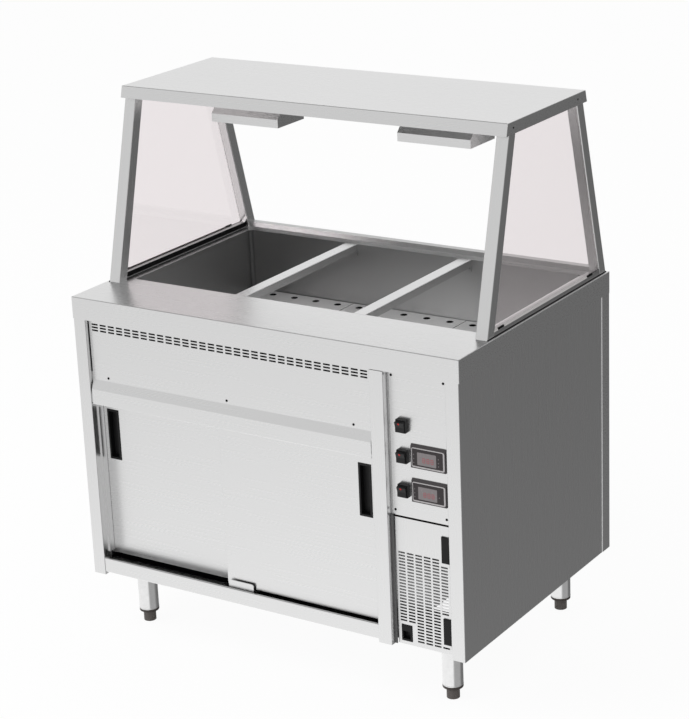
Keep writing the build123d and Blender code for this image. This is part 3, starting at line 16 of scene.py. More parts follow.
import bmesh
import bpy
import numpy as np
from mathutils import Euler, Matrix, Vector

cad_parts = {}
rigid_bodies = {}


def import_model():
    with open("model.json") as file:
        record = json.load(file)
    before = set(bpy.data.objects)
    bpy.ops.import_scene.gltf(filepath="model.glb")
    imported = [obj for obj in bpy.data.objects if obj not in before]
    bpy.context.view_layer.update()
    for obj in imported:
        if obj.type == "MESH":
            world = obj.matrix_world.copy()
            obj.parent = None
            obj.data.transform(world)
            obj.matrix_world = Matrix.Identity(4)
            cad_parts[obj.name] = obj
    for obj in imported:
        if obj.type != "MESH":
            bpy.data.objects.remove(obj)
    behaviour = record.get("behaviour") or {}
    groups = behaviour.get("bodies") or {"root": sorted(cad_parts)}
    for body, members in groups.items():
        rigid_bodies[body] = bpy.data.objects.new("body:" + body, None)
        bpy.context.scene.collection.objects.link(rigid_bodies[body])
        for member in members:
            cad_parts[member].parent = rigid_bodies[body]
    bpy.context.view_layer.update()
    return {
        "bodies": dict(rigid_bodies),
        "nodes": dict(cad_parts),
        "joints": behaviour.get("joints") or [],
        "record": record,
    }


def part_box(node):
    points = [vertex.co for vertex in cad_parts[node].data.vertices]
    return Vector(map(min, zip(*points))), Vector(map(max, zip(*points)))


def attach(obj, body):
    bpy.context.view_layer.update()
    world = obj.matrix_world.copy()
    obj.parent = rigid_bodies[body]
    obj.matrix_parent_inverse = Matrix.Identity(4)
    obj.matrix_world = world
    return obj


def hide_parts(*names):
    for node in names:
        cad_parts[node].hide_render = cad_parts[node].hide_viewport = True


LOG = logging.getLogger("hot_cupboard")
MM = 0.001
# Points that are nearer than this, in millimetres, become one.
MERGE_GAP = 0.001
# Least radius of an inner corner, in millimetres.
LEAST_RADIUS = 0.1
# Angle in degrees at which a screw's dome meets its socket, points along the dome, and the socket's
# radius and floor as shares of the head's.
DOME_END = 72.0
DOME_STEPS = 6
SOCKET_RADIUS = 0.28
SOCKET_FLOOR = 0.45
# Span that most of a noise texture's values lie in.
NOISE_SPAN = (0.3, 0.7)
WHITE = (1.0, 1.0, 1.0, 1.0)
Array = np.ndarray
Tree = bpy.types.NodeTree
Node = bpy.types.Node
Socket = bpy.types.NodeSocket


def linear(colour: str) -> tuple[float, float, float, float]:
    """Turns an sRGB hex colour into linear light.

    Args:
        colour: six hex digits.

    Returns:
        Red, green, blue and an alpha of 1.
    """
    parts = np.array([int(colour[i:i + 2], 16) for i in (0, 2, 4)]) / 255
    light = np.where(parts <= 0.04045, parts / 12.92, ((parts + 0.055) / 1.055) ** 2.4)
    return (*light.tolist(), 1.0)


def add_node(tree: Tree, kind: str, sockets: dict[Any, Any] | None = None, **settings: Any) -> Node:
    """Adds a node with its settings, and sets or links its inputs.

    Args:
        tree: node tree that gets the node.
        kind: Blender's name for the node type, without its ShaderNode.
        sockets: input name or index, with a value to set, or a socket or a node's first output to link.
        **settings: attributes of the node.

    Returns:
        The new node.
    """
    node = tree.nodes.new(f"ShaderNode{kind}")
    for name, value in settings.items():
        setattr(node, name, value)
    for name, value in (sockets or {}).items():
        if isinstance(value, Node):
            value = value.outputs[0]
        if isinstance(value, Socket):
            tree.links.new(value, node.inputs[name])
        else:
            node.inputs[name].default_value = value
    return node


class Grain(Enum):
    """Direction that a sheet or tube was brushed in, as an axis index."""

    ALONG_X = 0
    ALONG_Y = 1
    ALONG_Z = 2


@dataclass(frozen=True)
class Finish:
    """A finish with its colour, gloss and the record's slot that it belongs to."""

    name: str
    slot: str
    colour: str
    roughness: float

    def material(self) -> bpy.types.Material:
        """Gives the finish's material, made on first use.

        Returns:
            The material.
        """
        made = bpy.data.materials.get(self.name)
        if made:
            return made
        made = bpy.data.materials.new(self.name)
        made.use_nodes = True
        tree = made.node_tree
        tree.nodes.clear()
        shader = add_node(
            tree, "BsdfPrincipled", {"Base Color": linear(self.colour), "Roughness": self.roughness}
        )
        self.refine(tree, shader)
        add_node(tree, "OutputMaterial", {"Surface": shader})
        made.diffuse_color = linear(self.colour)
        return made

    def refine(self, tree: Tree, shader: Node) -> None:
        """Adds what sets this finish apart; a plain finish adds nothing.

        Args:
            tree: the material's node tree.
            shader: its surface shader.
        """

    def vary_gloss(
        self, tree: Tree, shader: Node, place: Socket, patch: float, detail: float, by: float
    ) -> Socket:
        """Spreads the roughness about its own value, in patches that follow noise.

        Args:
            tree: the material's node tree.
            shader: its surface shader.
            place: coordinates that the noise reads.
            patch: size of a patch, in units of those coordinates.
            detail: octaves of finer noise.
            by: most that the roughness rises or falls.

        Returns:
            The noise's output socket.
        """
        noise = add_node(tree, "TexNoise", {"Vector": place, "Scale": 1 / patch, "Detail": detail})
        gloss = add_node(
            tree, "MapRange",
            {
                "Value": noise, "From Min": NOISE_SPAN[0], "From Max": NOISE_SPAN[1],
                "To Min": self.roughness - by, "To Max": self.roughness + by,
            },
        )
        tree.links.new(gloss.outputs[0], shader.inputs["Roughness"])
        return noise.outputs[0]


@dataclass(frozen=True)
class BrushedMetal(Finish):
    """Sheet or tube brushed in one direction: fine lines that smear what the metal reflects."""

    grain: Grain = Grain.ALONG_X
    line: float = 2.5
    reach: float = 240.0
    variation: float = 0.01
    relief: float = 0.0004
    depth: float = 0.3

    def refine(self, tree: Tree, shader: Node) -> None:
        """Stretches noise along the grain, for the gloss and a very low relief.

        The real lines are a tenth of a millimetre wide; they are drawn as wide as shows in a picture.

        Args:
            tree: the material's node tree.
            shader: its surface shader.
        """
        shader.inputs["Metallic"].default_value = 1.0
        scale = [1 / (self.line * MM)] * 3
        scale[self.grain.value] = 1 / (self.reach * MM)
        place = add_node(tree, "TexCoord").outputs["Object"]
        lines = add_node(tree, "Mapping", {"Vector": place, "Scale": scale}).outputs[0]
        noise = self.vary_gloss(tree, shader, lines, patch=1.0, detail=2.0, by=self.variation)
        bump = add_node(
            tree, "Bump", {"Height": noise, "Strength": self.relief, "Distance": self.depth * MM}
        )
        tree.links.new(bump.outputs[0], shader.inputs["Normal"])


@dataclass(frozen=True)
class WellMetal(BrushedMetal):
    """Brushed metal with a film of lime, which begins at one place across the well and thins upwards; the
    film is partly real lime and partly painted light, lighter towards one side and towards the bottom.

    Painted shade, near black, lies on all that is below a level of the well, where shadow falls under the
    plates and in their holes.
    """

    lime_and_light: str = "F2F2F2"
    film: float = 0.66
    start: float = -600.0
    stretch: float = 80.0
    upward_fade: tuple[float, float] = (1000.0, 1100.0)
    # Colour of the painted shade below the level.
    scale: str = "1C1A18"
    shade_top: float = 722.0
    shade_fade: float = 3.0

    def refine(self, tree: Tree, shader: Node) -> None:
        """Brushes the metal, dulls and whitens it by the film, which is partly painted light, and darkens
        it below the level with painted shade.

        The film's share is its share across times its share up.

        Args:
            tree: the material's node tree.
            shader: its surface shader.
        """
        super().refine(tree, shader)
        place = add_node(tree, "TexCoord").outputs["Object"]
        parts = add_node(tree, "SeparateXYZ", {0: place}).outputs
        end = self.start + self.stretch
        across = add_node(
            tree, "MapRange", {"Value": parts["X"], "From Min": self.start * MM, "From Max": end * MM}
        )
        up = add_node(
            tree, "MapRange",
            {
                "Value": parts["Z"], "From Min": self.upward_fade[0] * MM, "From Max": self.upward_fade[1] * MM,
                "To Min": 1.0, "To Max": 0.0,
            },
        )
        # The film's share, partly real lime and partly painted light: lighter past the start across and
        # lower down.
        share = add_node(tree, "Math", {0: across, 1: up}, operation="MULTIPLY")
        bare = add_node(tree, "Math", {0: share, 1: -self.film, 2: 1.0}, operation="MULTIPLY_ADD")
        tree.links.new(bare.outputs[0], shader.inputs["Metallic"])
        limed_and_lit = add_node(
            tree, "Mix", {0: share, 6: linear(self.colour), 7: linear(self.lime_and_light)}, data_type="RGBA"
        )
        # Painted shade: below the level the colour turns to the near-black shade colour.
        foot = self.shade_top - self.shade_fade
        unshaded = add_node(
            tree, "MapRange", {"Value": parts["Z"], "From Min": foot * MM, "From Max": self.shade_top * MM}
        )
        colour = add_node(
            tree, "Mix", {0: unshaded, 6: linear(self.scale), 7: limed_and_lit.outputs[2]}, data_type="RGBA"
        )
        tree.links.new(colour.outputs[2], shader.inputs["Base Color"])


@dataclass(frozen=True)
class CornerShadedMetal(WellMetal):
    """Metal of the well's welded tank, with grey painted shade in its upright corners."""

    # Colour of the painted shade in the upright corners.
    tint: str = "787878"
    middle: tuple[float, float] = (0.0, 67.0)
    corner: tuple[float, float] = (488.0, 243.5)
    corner_fade: float = 3.0

    def refine(self, tree: Tree, shader: Node) -> None:
        """Darkens the well's metal with painted shade where it lies past a corner's start both across and
        along.

        Args:
            tree: the material's node tree.
            shader: its surface shader.
        """
        super().refine(tree, shader)
        base = shader.inputs["Base Color"].links[0].from_socket
        place = add_node(tree, "TexCoord").outputs["Object"]
        centre = [value * MM for value in (*self.middle, 0.0)]
        start = [value * MM for value in (*self.corner, 0.0)]
        off = add_node(tree, "VectorMath", {0: place, 1: centre}, operation="SUBTRACT")
        size = add_node(tree, "VectorMath", {0: off}, operation="ABSOLUTE")
        past = add_node(tree, "VectorMath", {0: size, 1: start}, operation="SUBTRACT")
        parts = add_node(tree, "SeparateXYZ", {0: past}).outputs
        least = add_node(tree, "Math", {0: parts["X"], 1: parts["Y"]}, operation="MINIMUM")
        fade = self.corner_fade * MM
        share = add_node(tree, "MapRange", {"Value": least, "From Min": -fade, "From Max": fade})
        # Painted shade: the corners turn towards the shade colour.
        colour = add_node(tree, "Mix", {0: share, 6: base, 7: linear(self.tint)}, data_type="RGBA")
        tree.links.new(colour.outputs[2], shader.inputs["Base Color"])


@dataclass(frozen=True)
class PlainMetal(Finish):
    """Smooth metal without a visible grain, clouded a little in gloss and towards a second colour."""

    stain: str = "808080"
    share: float = 0.1
    cloud: float = 14.0
    variation: float = 0.03

    def refine(self, tree: Tree, shader: Node) -> None:
        """Makes the finish metallic and clouds it: noise, which is about a half, times twice the share.

        Args:
            tree: the material's node tree.
            shader: its surface shader.
        """
        shader.inputs["Metallic"].default_value = 1.0
        place = add_node(tree, "TexCoord").outputs["Object"]
        noise = self.vary_gloss(tree, shader, place, self.cloud * MM, detail=3.0, by=self.variation)
        amount = add_node(tree, "Math", {0: noise, 1: 2 * self.share}, operation="MULTIPLY")
        tint = add_node(
            tree, "Mix", {0: amount, 6: linear(self.colour), 7: linear(self.stain)}, data_type="RGBA"
        )
        tree.links.new(tint.outputs[2], shader.inputs["Base Color"])


@dataclass(frozen=True)
class Moulded(Finish):
    """Moulded plastic with a fine spark-eroded grain that breaks up its gloss."""

    pebble: float = 1.2
    relief: float = 0.08
    depth: float = 0.2
    gleam: float = 0.5
    bloom: float = 9.0
    variation: float = 0.05

    def refine(self, tree: Tree, shader: Node) -> None:
        """Adds the mould's grain as a low relief, and wider patches of more and less gloss.

        Args:
            tree: the material's node tree.
            shader: its surface shader.
        """
        shader.inputs["Specular IOR Level"].default_value = self.gleam
        place = add_node(tree, "TexCoord").outputs["Object"]
        self.vary_gloss(tree, shader, place, self.bloom * MM, detail=2.0, by=self.variation)
        pebbles = add_node(
            tree, "TexNoise", {"Vector": place, "Scale": 1 / (self.pebble * MM), "Detail": 1.0}
        )
        bump = add_node(
            tree, "Bump", {"Height": pebbles, "Strength": self.relief, "Distance": self.depth * MM}
        )
        tree.links.new(bump.outputs[0], shader.inputs["Normal"])


@dataclass(frozen=True)
class Clear(Finish):
    """Clear glass with a faint body tint, seen best at its edges, and smears left by wiping."""

    ior: float = 1.5
    smear: float = 60.0
    variation: float = 0.008

    def refine(self, tree: Tree, shader: Node) -> None:
        """Lets light through, and smears the gloss.

        Args:
            tree: the material's node tree.
            shader: its surface shader.
        """
        shader.inputs["Transmission Weight"].default_value = 1.0
        shader.inputs["IOR"].default_value = self.ior
        place = add_node(tree, "TexCoord").outputs["Object"]
        self.vary_gloss(tree, shader, place, self.smear * MM, detail=3.0, by=self.variation)


@dataclass(frozen=True)
class Glowing(Finish):
    """Plastic lens or segment with a faint painted glow in its own colour, and fine prisms across it."""

    # Strength of the painted glow.
    strength: float = 0.3
    prism: float = 0.6
    relief: float = 0.1
    depth: float = 0.05

    def refine(self, tree: Tree, shader: Node) -> None:
        """Adds a painted glow in the finish's own colour, and prisms: a wave of scale 1 repeats each pi /
        10.

        Args:
            tree: the material's node tree.
            shader: its surface shader.
        """
        shader.inputs["Emission Color"].default_value = linear(self.colour)
        shader.inputs["Emission Strength"].default_value = self.strength
        place = add_node(tree, "TexCoord").outputs["Object"]
        wave = add_node(tree, "TexWave", {"Vector": place, "Scale": math.pi / 10 / (self.prism * MM)})
        bump = add_node(
            tree, "Bump", {"Height": wave.outputs[1], "Strength": self.relief, "Distance": self.depth * MM}
        )
        tree.links.new(bump.outputs[0], shader.inputs["Normal"])


# Satin stainless sheet: pale and neutral, it takes on soft, drawn-out reflections of the room.
SHEET_X = BrushedMetal("stainless_sheet_brushed_across", "stainless_steel", "E8E8E8", 0.28)
SHEET_Z = BrushedMetal("stainless_sheet_brushed_up", "stainless_steel", "E8E8E8", 0.28, Grain.ALONG_Z)
# Drawn stainless of the wet tank: the same satin, greyed by heat and further by painted shade of the deep
# well, and paler with lime towards the drain.
# The lime is partly painted light, lighter to the right and towards the bottom; painted shade darkens the
# tank below the plates.
TANK = CornerShadedMetal(
    "stainless_tank_dull", "stainless_steel", "ACACAC", 0.36,
    lime_and_light="E2E2E2", film=0.52, start=-400.0, stretch=560.0, upward_fade=(720.0, 950.0),
)
# Perforated plates of the well: a thin film of lime on them scatters the light, and painted shade darkens
# their edges and the walls of their holes.
WELL_PLATE = WellMetal(
    "stainless_plate_limed", "stainless_steel", "F2F2F2", 0.45, film=0.66, shade_top=729.9, shade_fade=0.2
)
# Satin stainless tube and bar: a little sharper than the sheet, with faint lines along it.
TUBE = BrushedMetal(
    "stainless_tube_satin", "bright_tube", "E6E6E6", 0.26, Grain.ALONG_Z,
    line=6.0, variation=0.006, relief=0.0,
)
TUBE_Y = BrushedMetal("stainless_bar_satin", "bright_tube", "E6E6E6", 0.26, Grain.ALONG_Y)
# Polished tube of the legs: sharp bands of light and dark run down it.
LEG_TUBE = PlainMetal(
    "stainless_leg_polished", "bright_tube", "F0F0F0", 0.16, "E2E2E2", 0.5, variation=0.02
)
# Folded glazing rail: duller than the posts, with a soft grey gleam.
RAIL = PlainMetal("stainless_rail_dull", "bright_tube", "C8C8C8", 0.3, "BEBEBE", 0.5, variation=0.006)
# Mill-finish aluminium extrusion: duller and slightly warmer than the steel.
EXTRUSION = PlainMetal("aluminium_extrusion", "aluminium", "CFCFCE", 0.4, "B9B9B8", 0.5)
# Black ABS, spark-eroded: near black with a broad dull gleam.
BLACK_ABS = Moulded("black_abs_matt", "black_plastic", "141415", 0.45, gleam=0.25)
# Black polycarbonate rockers: a touch glossier than the bezels round them.
ROCKER_BLACK = Moulded("black_polycarbonate", "rocker_black", "171718", 0.4, gleam=0.3)
# Grey-black glass-filled case of the controllers and of the gear in the bay.
CASE_GREY = Moulded("case_grey_abs", "case_grey", "454243", 0.5, gleam=0.35)
# White nylon: waxy and slightly yellow.
NYLON = Moulded("nylon_white", "nylon", "E9E6DC", 0.5)
# Brown-grey polypropylene feet: dull, soft gleam at the edges.
FOOT_GREY = Moulded("foot_polypropylene", "foot_plastic", "5E5956", 0.5, gleam=0.35)
# Toughened glass: nearly clear, with a faint rose-grey body tint.
GLASS = Clear("toughened_glass", "clear_glass", "F0EAEB", 0.02)
# Quartz tube of the heat lamps: clear with a frosty skin.
QUARTZ = Clear("quartz_frosted", "quartz", "F2EDE6", 0.25, 1.46)
# Heater sheath: steel browned by heat.
SHEATH = PlainMetal("heater_sheath_oxidised", "element_sheath", "6E6A66", 0.5, "4E4038", 0.6, 22.0)
# Nickel-plated brass valve: bright, a little yellow.
BRASS = PlainMetal("brass_plated", "valve_brass", "D6C9A4", 0.3, "B59F6C", 0.4)
# Dipped red vinyl on the drain lever.
LEVER_RED = Moulded("vinyl_red", "lever_red", "B3201B", 0.4)
# Black zinc screws: dark, dull metal.
SCREW_BLACK = PlainMetal("screw_black_zinc", "black_plastic", "2A2A2C", 0.4, "161618", 0.5, 2.0)
# Bright stainless rivets and screws.
SCREW_STEEL = PlainMetal("screw_stainless", "stainless_steel", "C8C9CB", 0.3, "9FA0A2", 0.5, 2.0)
# Red marker moulded into each rocker, with a faint painted glow.
MARKER_RED = Glowing("marker_red", "rocker_black", "B00D12", 0.6, 0.05)
# Smoked window of the controllers: grey where the room reflects in it.
WINDOW = Moulded("window_smoked", "case_grey", "827D7E", 0.25, relief=0.0, gleam=0.3)
# Dark membrane round the window.
MEMBRANE = Moulded("membrane_dark", "case_grey", "353132", 0.45, gleam=0.3)
# Silver-painted step round the membrane: pale with a soft metallic gleam, and partly a painted highlight of
# a lit bevel, drawn wider on the right and bottom where that highlight is broader.
SILVER_AND_HIGHLIGHT = PlainMetal("silver_paint", "case_grey", "C9C6C7", 0.42, "A19E9F", 0.3, 6.0)
# Key marks printed on the membrane, a little lighter than it.
KEY_GREY = Moulded("key_mark_grey", "case_grey", "6E696A", 0.5)
# Black sealant and rubber trim: dull, without a highlight; the bead along each side rail's foot is a
# painted shadow line.
BLACK_TRIM_AND_SHADE = Moulded("sealant_black", "black_plastic", "0F0F10", 0.7, gleam=0.15)
# Dark grey rubber seal between the bay's door and its frame.
RUBBER = Moulded("rubber_grey", "black_plastic", "6C6C6C", 0.6, gleam=0.2)
# Grey silicone between the control panel and the divider: matt, darker than the steel; its grey is painted
# shade of the divider's side.
GREY_SEALANT_SHADE = Moulded("silicone_grey", "black_plastic", "C6C6C6", 0.6, gleam=0.2)
# Pale grey glazing rubber: matt, catches the light along the glass.
GASKET = Moulded("glazing_rubber_pale", "foot_plastic", "C8C5C4", 0.6, gleam=0.2)
# Near-black strips in the gutter under the doors: painted shade where the trough lies in shadow; dull, they
# swallow the light.
GUTTER_SHADE = Moulded("gutter_lining_black", "black_plastic", "08080A", 0.8, gleam=0.1)
# Brown-black collar between a leg's tube and its foot, darker than the foot as painted shade under the
# tube's end.
SHADED_COLLAR = Moulded("collar_polypropylene", "foot_plastic", "413B38", 0.5, gleam=0.35)
# Unlit red segments behind the window, with a faint painted glow.
SEGMENT_RED = Glowing("segment_red", "case_grey", "96454B", 0.4, 0.08)


class Facing(Enum):
    """Axes of a face: along it, up it and out of it."""

    FRONT = ((1, 0, 0), (0, 0, 1), (0, -1, 0))
    RIGHT = ((0, 1, 0), (0, 0, 1), (1, 0, 0))
    LEFT = ((0, -1, 0), (0, 0, 1), (-1, 0, 0))
    REAR = ((-1, 0, 0), (0, 0, 1), (0, 1, 0))


def placed(points: Array, origin: Sequence[float], axes: Sequence[Sequence[float]]) -> Array:
    """Carries points from a face's own axes to the frame: origin plus each coordinate times its axis.

    Args:
        points: any array of (along, up, out) triples.
        origin: place of the face's own origin.
        axes: the face's three axes.

    Returns:
        The points in the frame.
    """
    return np.asarray(origin, float) + points @ np.asarray(axes, float)


def rounded_outline(width: float, height: float, radius: float, steps: int = 5) -> Array:
    """Outline of a rounded rectangle: four quarter circles, one about each corner's centre.

    Args:
        width: overall width.
        height: overall height.
        radius: corner radius.
        steps: points in each quarter circle.

    Returns:
        Points (4 * steps, 2), counter-clockwise.
    """
    turn = np.linspace(0, math.pi / 2, steps)
    angle = (turn[None, :] + np.arange(4)[:, None] * math.pi / 2).ravel()
    side = np.repeat(np.array([(1, 1), (-1, 1), (-1, -1), (1, -1)], float), steps, axis=0)
    centre = side * np.array([width / 2 - radius, height / 2 - radius])
    return centre + radius * np.stack([np.cos(angle), np.sin(angle)], axis=1)


def slab(width: float, height: float, radius: float, rise: float, bevel: float) -> Array:
    """Flat-topped block: a bevelled edge profile carried round a rounded rectangle, closed at its middle.

    Args:
        width: overall width.
        height: overall height.
        radius: corner radius.
        rise: how far it stands out.
        bevel: width of the bevel at the top edge.

    Returns:
        Grid of points, one row for each point of the profile.
    """
    outline = rounded_outline(width, height, radius)
    shrink = 1 - 2 * bevel / np.array([width, height])
    plan = np.stack([0 * outline, outline, outline, outline * shrink, 0 * outline])
    level = np.array([0, 0, rise - bevel, rise, rise])[:, None, None]
    return np.concatenate([plan, np.broadcast_to(level, plan.shape[:2] + (1,))], axis=2)


def border(
    width: float, height: float, radius: float, thick: float, levels: tuple[float, float],
    shift: tuple[float, float] = (0.0, 0.0),
) -> Array:
    """Frame: a rectangular section carried round a rounded rectangle and back to its start.

    Args:
        width: outer width.
        height: outer height.
        radius: outer corner radius.
        thick: mean width of the frame's face.
        levels: levels of its back and of its face.
        shift: how far the inner outline lies off the outer one's middle.

    Returns:
        Grid of points whose last row repeats the first.
    """
    outer = rounded_outline(width, height, radius)
    corner = max(radius - thick, LEAST_RADIUS)
    inner = rounded_outline(width - 2 * thick, height - 2 * thick, corner) + shift
    plan = np.stack([outer, outer, inner, inner, outer])
    level = np.array(levels)[[0, 1, 1, 0, 0]][:, None, None]
    return np.concatenate([plan, np.broadcast_to(level, plan.shape[:2] + (1,))], axis=2)


def turned(profile: Sequence[tuple[float, float]], steps: int = 24) -> Array:
    """Turned piece: a profile of (radius, height) swept once round the outward axis.

    Args:
        profile: points from the axis at the back to the axis at the front.
        steps: points round the axis.

    Returns:
        Grid of points, one row for each point of the profile.
    """
    outline = np.asarray(profile, float)
    angle = np.linspace(0, 2 * math.pi, steps, endpoint=False)
    radius = outline[:, :1]
    rise = np.broadcast_to(outline[:, 1:], (len(outline), steps))
    return np.stack([radius * np.cos(angle), radius * np.sin(angle), rise], axis=2)


class Run(Enum):
    """Axes of a straight bar: along it and the two of its section."""

    ALONG_X = ((1, 0, 0), (0, 1, 0), (0, 0, 1))
    ALONG_Y = ((0, 1, 0), (1, 0, 0), (0, 0, 1))
    ALONG_Z = ((0, 0, 1), (1, 0, 0), (0, 1, 0))


def box_outline(low_a: float, high_a: float, low_b: float, high_b: float) -> list[tuple[float, float]]:
    """Corners of a rectangle between two pairs of limits."""
    return [(low_a, low_b), (high_a, low_b), (high_a, high_b), (low_a, high_b)]


def extruded(
    outline: Sequence[tuple[float, float]], start: float, end: float, run: Run = Run.ALONG_X
) -> Array:
    """Straight bar: an outline carried along one axis and closed at both ends.

    Args:
        outline: corners of the section on the other two axes, in order; the section is convex.
        start: place of one end.
        end: place of the other.
        run: the way that the bar runs.

    Returns:
        Grid of points whose first and last rows are the ends' middles.
    """
    section = np.asarray(outline, float)
    middle = np.broadcast_to(section.mean(axis=0), section.shape)
    plan = np.stack([middle, section, section, middle])
    along = np.broadcast_to(np.array([start, start, end, end])[:, None, None], plan.shape[:2] + (1,))
    return placed(np.concatenate([along, plan], axis=2), (0, 0, 0), run.value)


def button_head(radius: float, height: float) -> Array:
    """Screw head: part of a quarter ellipse turned about the screw's axis, with a flat back and a socket.

    Args:
        radius: the head's radius.
        height: height of the whole ellipse.

    Returns:
        Grid of points, out of the face that it sits on.
    """
    turn = np.linspace(0, math.radians(DOME_END), DOME_STEPS)
    dome = np.stack([radius * np.cos(turn), height * np.sin(turn)], axis=1)
    floor = SOCKET_FLOOR * height
    return turned([(0.0, 0.0), *map(tuple, dome), (SOCKET_RADIUS * radius, floor), (0.0, floor)])


def make_piece(
    name: str, grids: Iterable[Array], finish: Finish, body: str, smooth: float = 35.0
) -> bpy.types.Object:
    """Makes one piece from grids of points in millimetres and lets it ride a body.

    Each grid closes on itself along its columns; doubled points are merged, so poles and seams are shut.

    Args:
        name: the piece's name.
        grids: arrays (rows, columns, 3) in the frame.
        finish: what it is made of.
        body: CAD body that carries it.
        smooth: edges sharper than this angle, in degrees, stay sharp.

    Returns:
        The new object.
    """
    points, quads, start = [], [], 0
    for grid in grids:
        rows, columns = grid.shape[:2]
        index = start + np.arange(rows * columns).reshape(rows, columns)
        after = np.roll(index, -1, axis=1)
        quads.append(np.stack([index[:-1], after[:-1], after[1:], index[1:]], axis=2).reshape(-1, 4))
        points.append(grid.reshape(-1, 3) * MM)
        start += rows * columns
    mesh = bpy.data.meshes.new(name)
    mesh.from_pydata(np.concatenate(points), [], np.concatenate(quads))
    tidy = bmesh.new()
    tidy.from_mesh(mesh)
    bmesh.ops.remove_doubles(tidy, verts=tidy.verts, dist=MERGE_GAP * MM)
    bmesh.ops.recalc_face_normals(tidy, faces=tidy.faces)
    tidy.to_mesh(mesh)
    tidy.free()
    mesh.shade_smooth()
    mesh.set_sharp_from_angle(angle=math.radians(smooth))
    mesh.materials.append(finish.material())
    piece = bpy.data.objects.new(name, mesh)
    bpy.context.collection.objects.link(piece)
    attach(piece, body)
    LOG.info("%s: %d faces, rides %s", name, len(mesh.polygons), body)
    return piece


@dataclass
class SubAssembly:
    """A group of CAD pieces that are dressed together."""

    frame: dict[str, Any]

    def limits(self, node: str) -> tuple[Array, Array]:
        """Lowest and highest corner of a CAD piece, in millimetres."""
        low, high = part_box(node)
        return np.array(low) / MM, np.array(high) / MM

    def dress(self, finish: Finish, *nodes: str) -> None:
        """Gives CAD pieces their finish.

        Args:
            finish: what they are made of.
            *nodes: names of the CAD pieces.
        """
        for node in nodes:
            mesh = self.frame["nodes"][node].data
            mesh.materials.clear()
            mesh.materials.append(finish.material())
            mesh.polygons.foreach_set("material_index", np.zeros(len(mesh.polygons), np.int32))
            LOG.info("%s: %s", node, finish.name)

    def build(self) -> None:
        """Dresses the group and adds its fittings."""
        raise NotImplementedError


@dataclass
class Cabinet(SubAssembly):
    """Bench top, folded shell, vent fascia and base."""

    screw_head: tuple[float, float] = (3.2, 2.0)
    screw_left: float = 48.5
    screw_pitch: float = 360.0
    screw_drop: float = 148.5
    screw_count: int = 3
    sheet: float = 1.2
    trough_width: float = 24.5
    trough_rise: float = 3.5
    ledge_drop: float = 10.0
    # Wall and gap of the near-black strips that paint the gutter's shade.
    shade_wall: float = 0.8
    shade_gap: float = 0.1
    back_inset: float = 14.0
    back_margin: float = 40.0
    back_count: int = 5
    back_head: tuple[float, float] = (3.2, 1.2)

    def build(self) -> None:
        """Dresses the shell, screws on the fascia and the back, and puts painted shade in the gutter under
        the doors.
        """
        self.dress(
            SHEET_X, "bench_top", "vent_fascia", "bottom_rail", "back_panel", "base_pan", "door_guide"
        )
        self.dress(SHEET_Z, "side_panel_left", "side_panel_right", "divider_post", "bay_partition")
        self.dress(EXTRUSION, "door_track")
        self.fascia_screws()
        self.back_screws()
        self.gutter_lining()

    def fascia_screws(self) -> None:
        """Sets the black screws along the fascia, on the track behind it."""
        low, high = self.limits("vent_fascia")
        setback = self.limits("door_track")[0][1] - self.sheet
        middles = low[0] + self.screw_left + self.screw_pitch * np.arange(self.screw_count)
        head = button_head(*self.screw_head)
        heads = [
            placed(head, (x, setback, high[2] - self.screw_drop), Facing.FRONT.value) for x in middles
        ]
        make_piece("fascia_screws", heads, SCREW_BLACK, "cabinet")

    def back_screws(self) -> None:
        """Sets a row of bright screws along the back panel's upper and lower edges."""
        low, high = self.limits("back_panel")
        head = button_head(*self.back_head)
        across = np.linspace(low[0] + self.back_margin, high[0] - self.back_margin, self.back_count)
        heads = [
            placed(head, (x, high[1], z), Facing.REAR.value)
            for x in across
            for z in (low[2] + self.back_inset, high[2] - self.back_inset)
        ]
        make_piece("back_screws", heads, SCREW_STEEL, "cabinet")

    def gutter_lining(self) -> None:
        """Puts painted shade in the trough under the doors: two upright black strips and one between them,
        along the rail.
        """
        low, high = self.limits("bottom_rail")
        gap, wall = self.shade_gap, self.shade_wall
        rear = high[1] - self.sheet - gap
        front = rear - self.trough_width + 2 * gap
        floor = low[2] + self.trough_rise + gap
        strips = [
            box_outline(front, front + wall, floor, high[2] - self.ledge_drop - gap),
            box_outline(front + wall, rear - wall, floor, floor + wall),
            box_outline(rear - wall, rear, floor, high[2] - gap),
        ]
        shade_strips = [extruded(strip, low[0], high[0]) for strip in strips]
        make_piece("gutter_lining", shade_strips, GUTTER_SHADE, "cabinet")


@dataclass
class HotCupboard(SubAssembly):
    """Sliding doors and what is behind them."""

    def build(self) -> None:
        """Dresses the doors, their pulls and shoes, and the inside."""
        self.dress(SHEET_X, "left_door", "right_door", "cupboard_floor", "cupboard_shelf", "shelf_angles")
        self.dress(BLACK_ABS, "left_door_pull", "right_door_pull")
        self.dress(NYLON, "left_door_shoes", "right_door_shoes")
        self.dress(SHEATH, "cupboard_heaters")


@dataclass
class WetWell(SubAssembly):
    """Tank with its plates, bars, element and drain."""

    def build(self) -> None:
        """Dresses the well."""
        self.dress(TANK, "well_tank", "bar_rests")
        self.dress(WELL_PLATE, "well_plates")
        self.dress(TUBE_Y, "pan_bar_left", "pan_bar_right")
        self.dress(SHEATH, "well_element")
        self.dress(TUBE, "drain_pipe")
        self.dress(BRASS, "drain_valve")
        self.dress(LEVER_RED, "drain_lever")


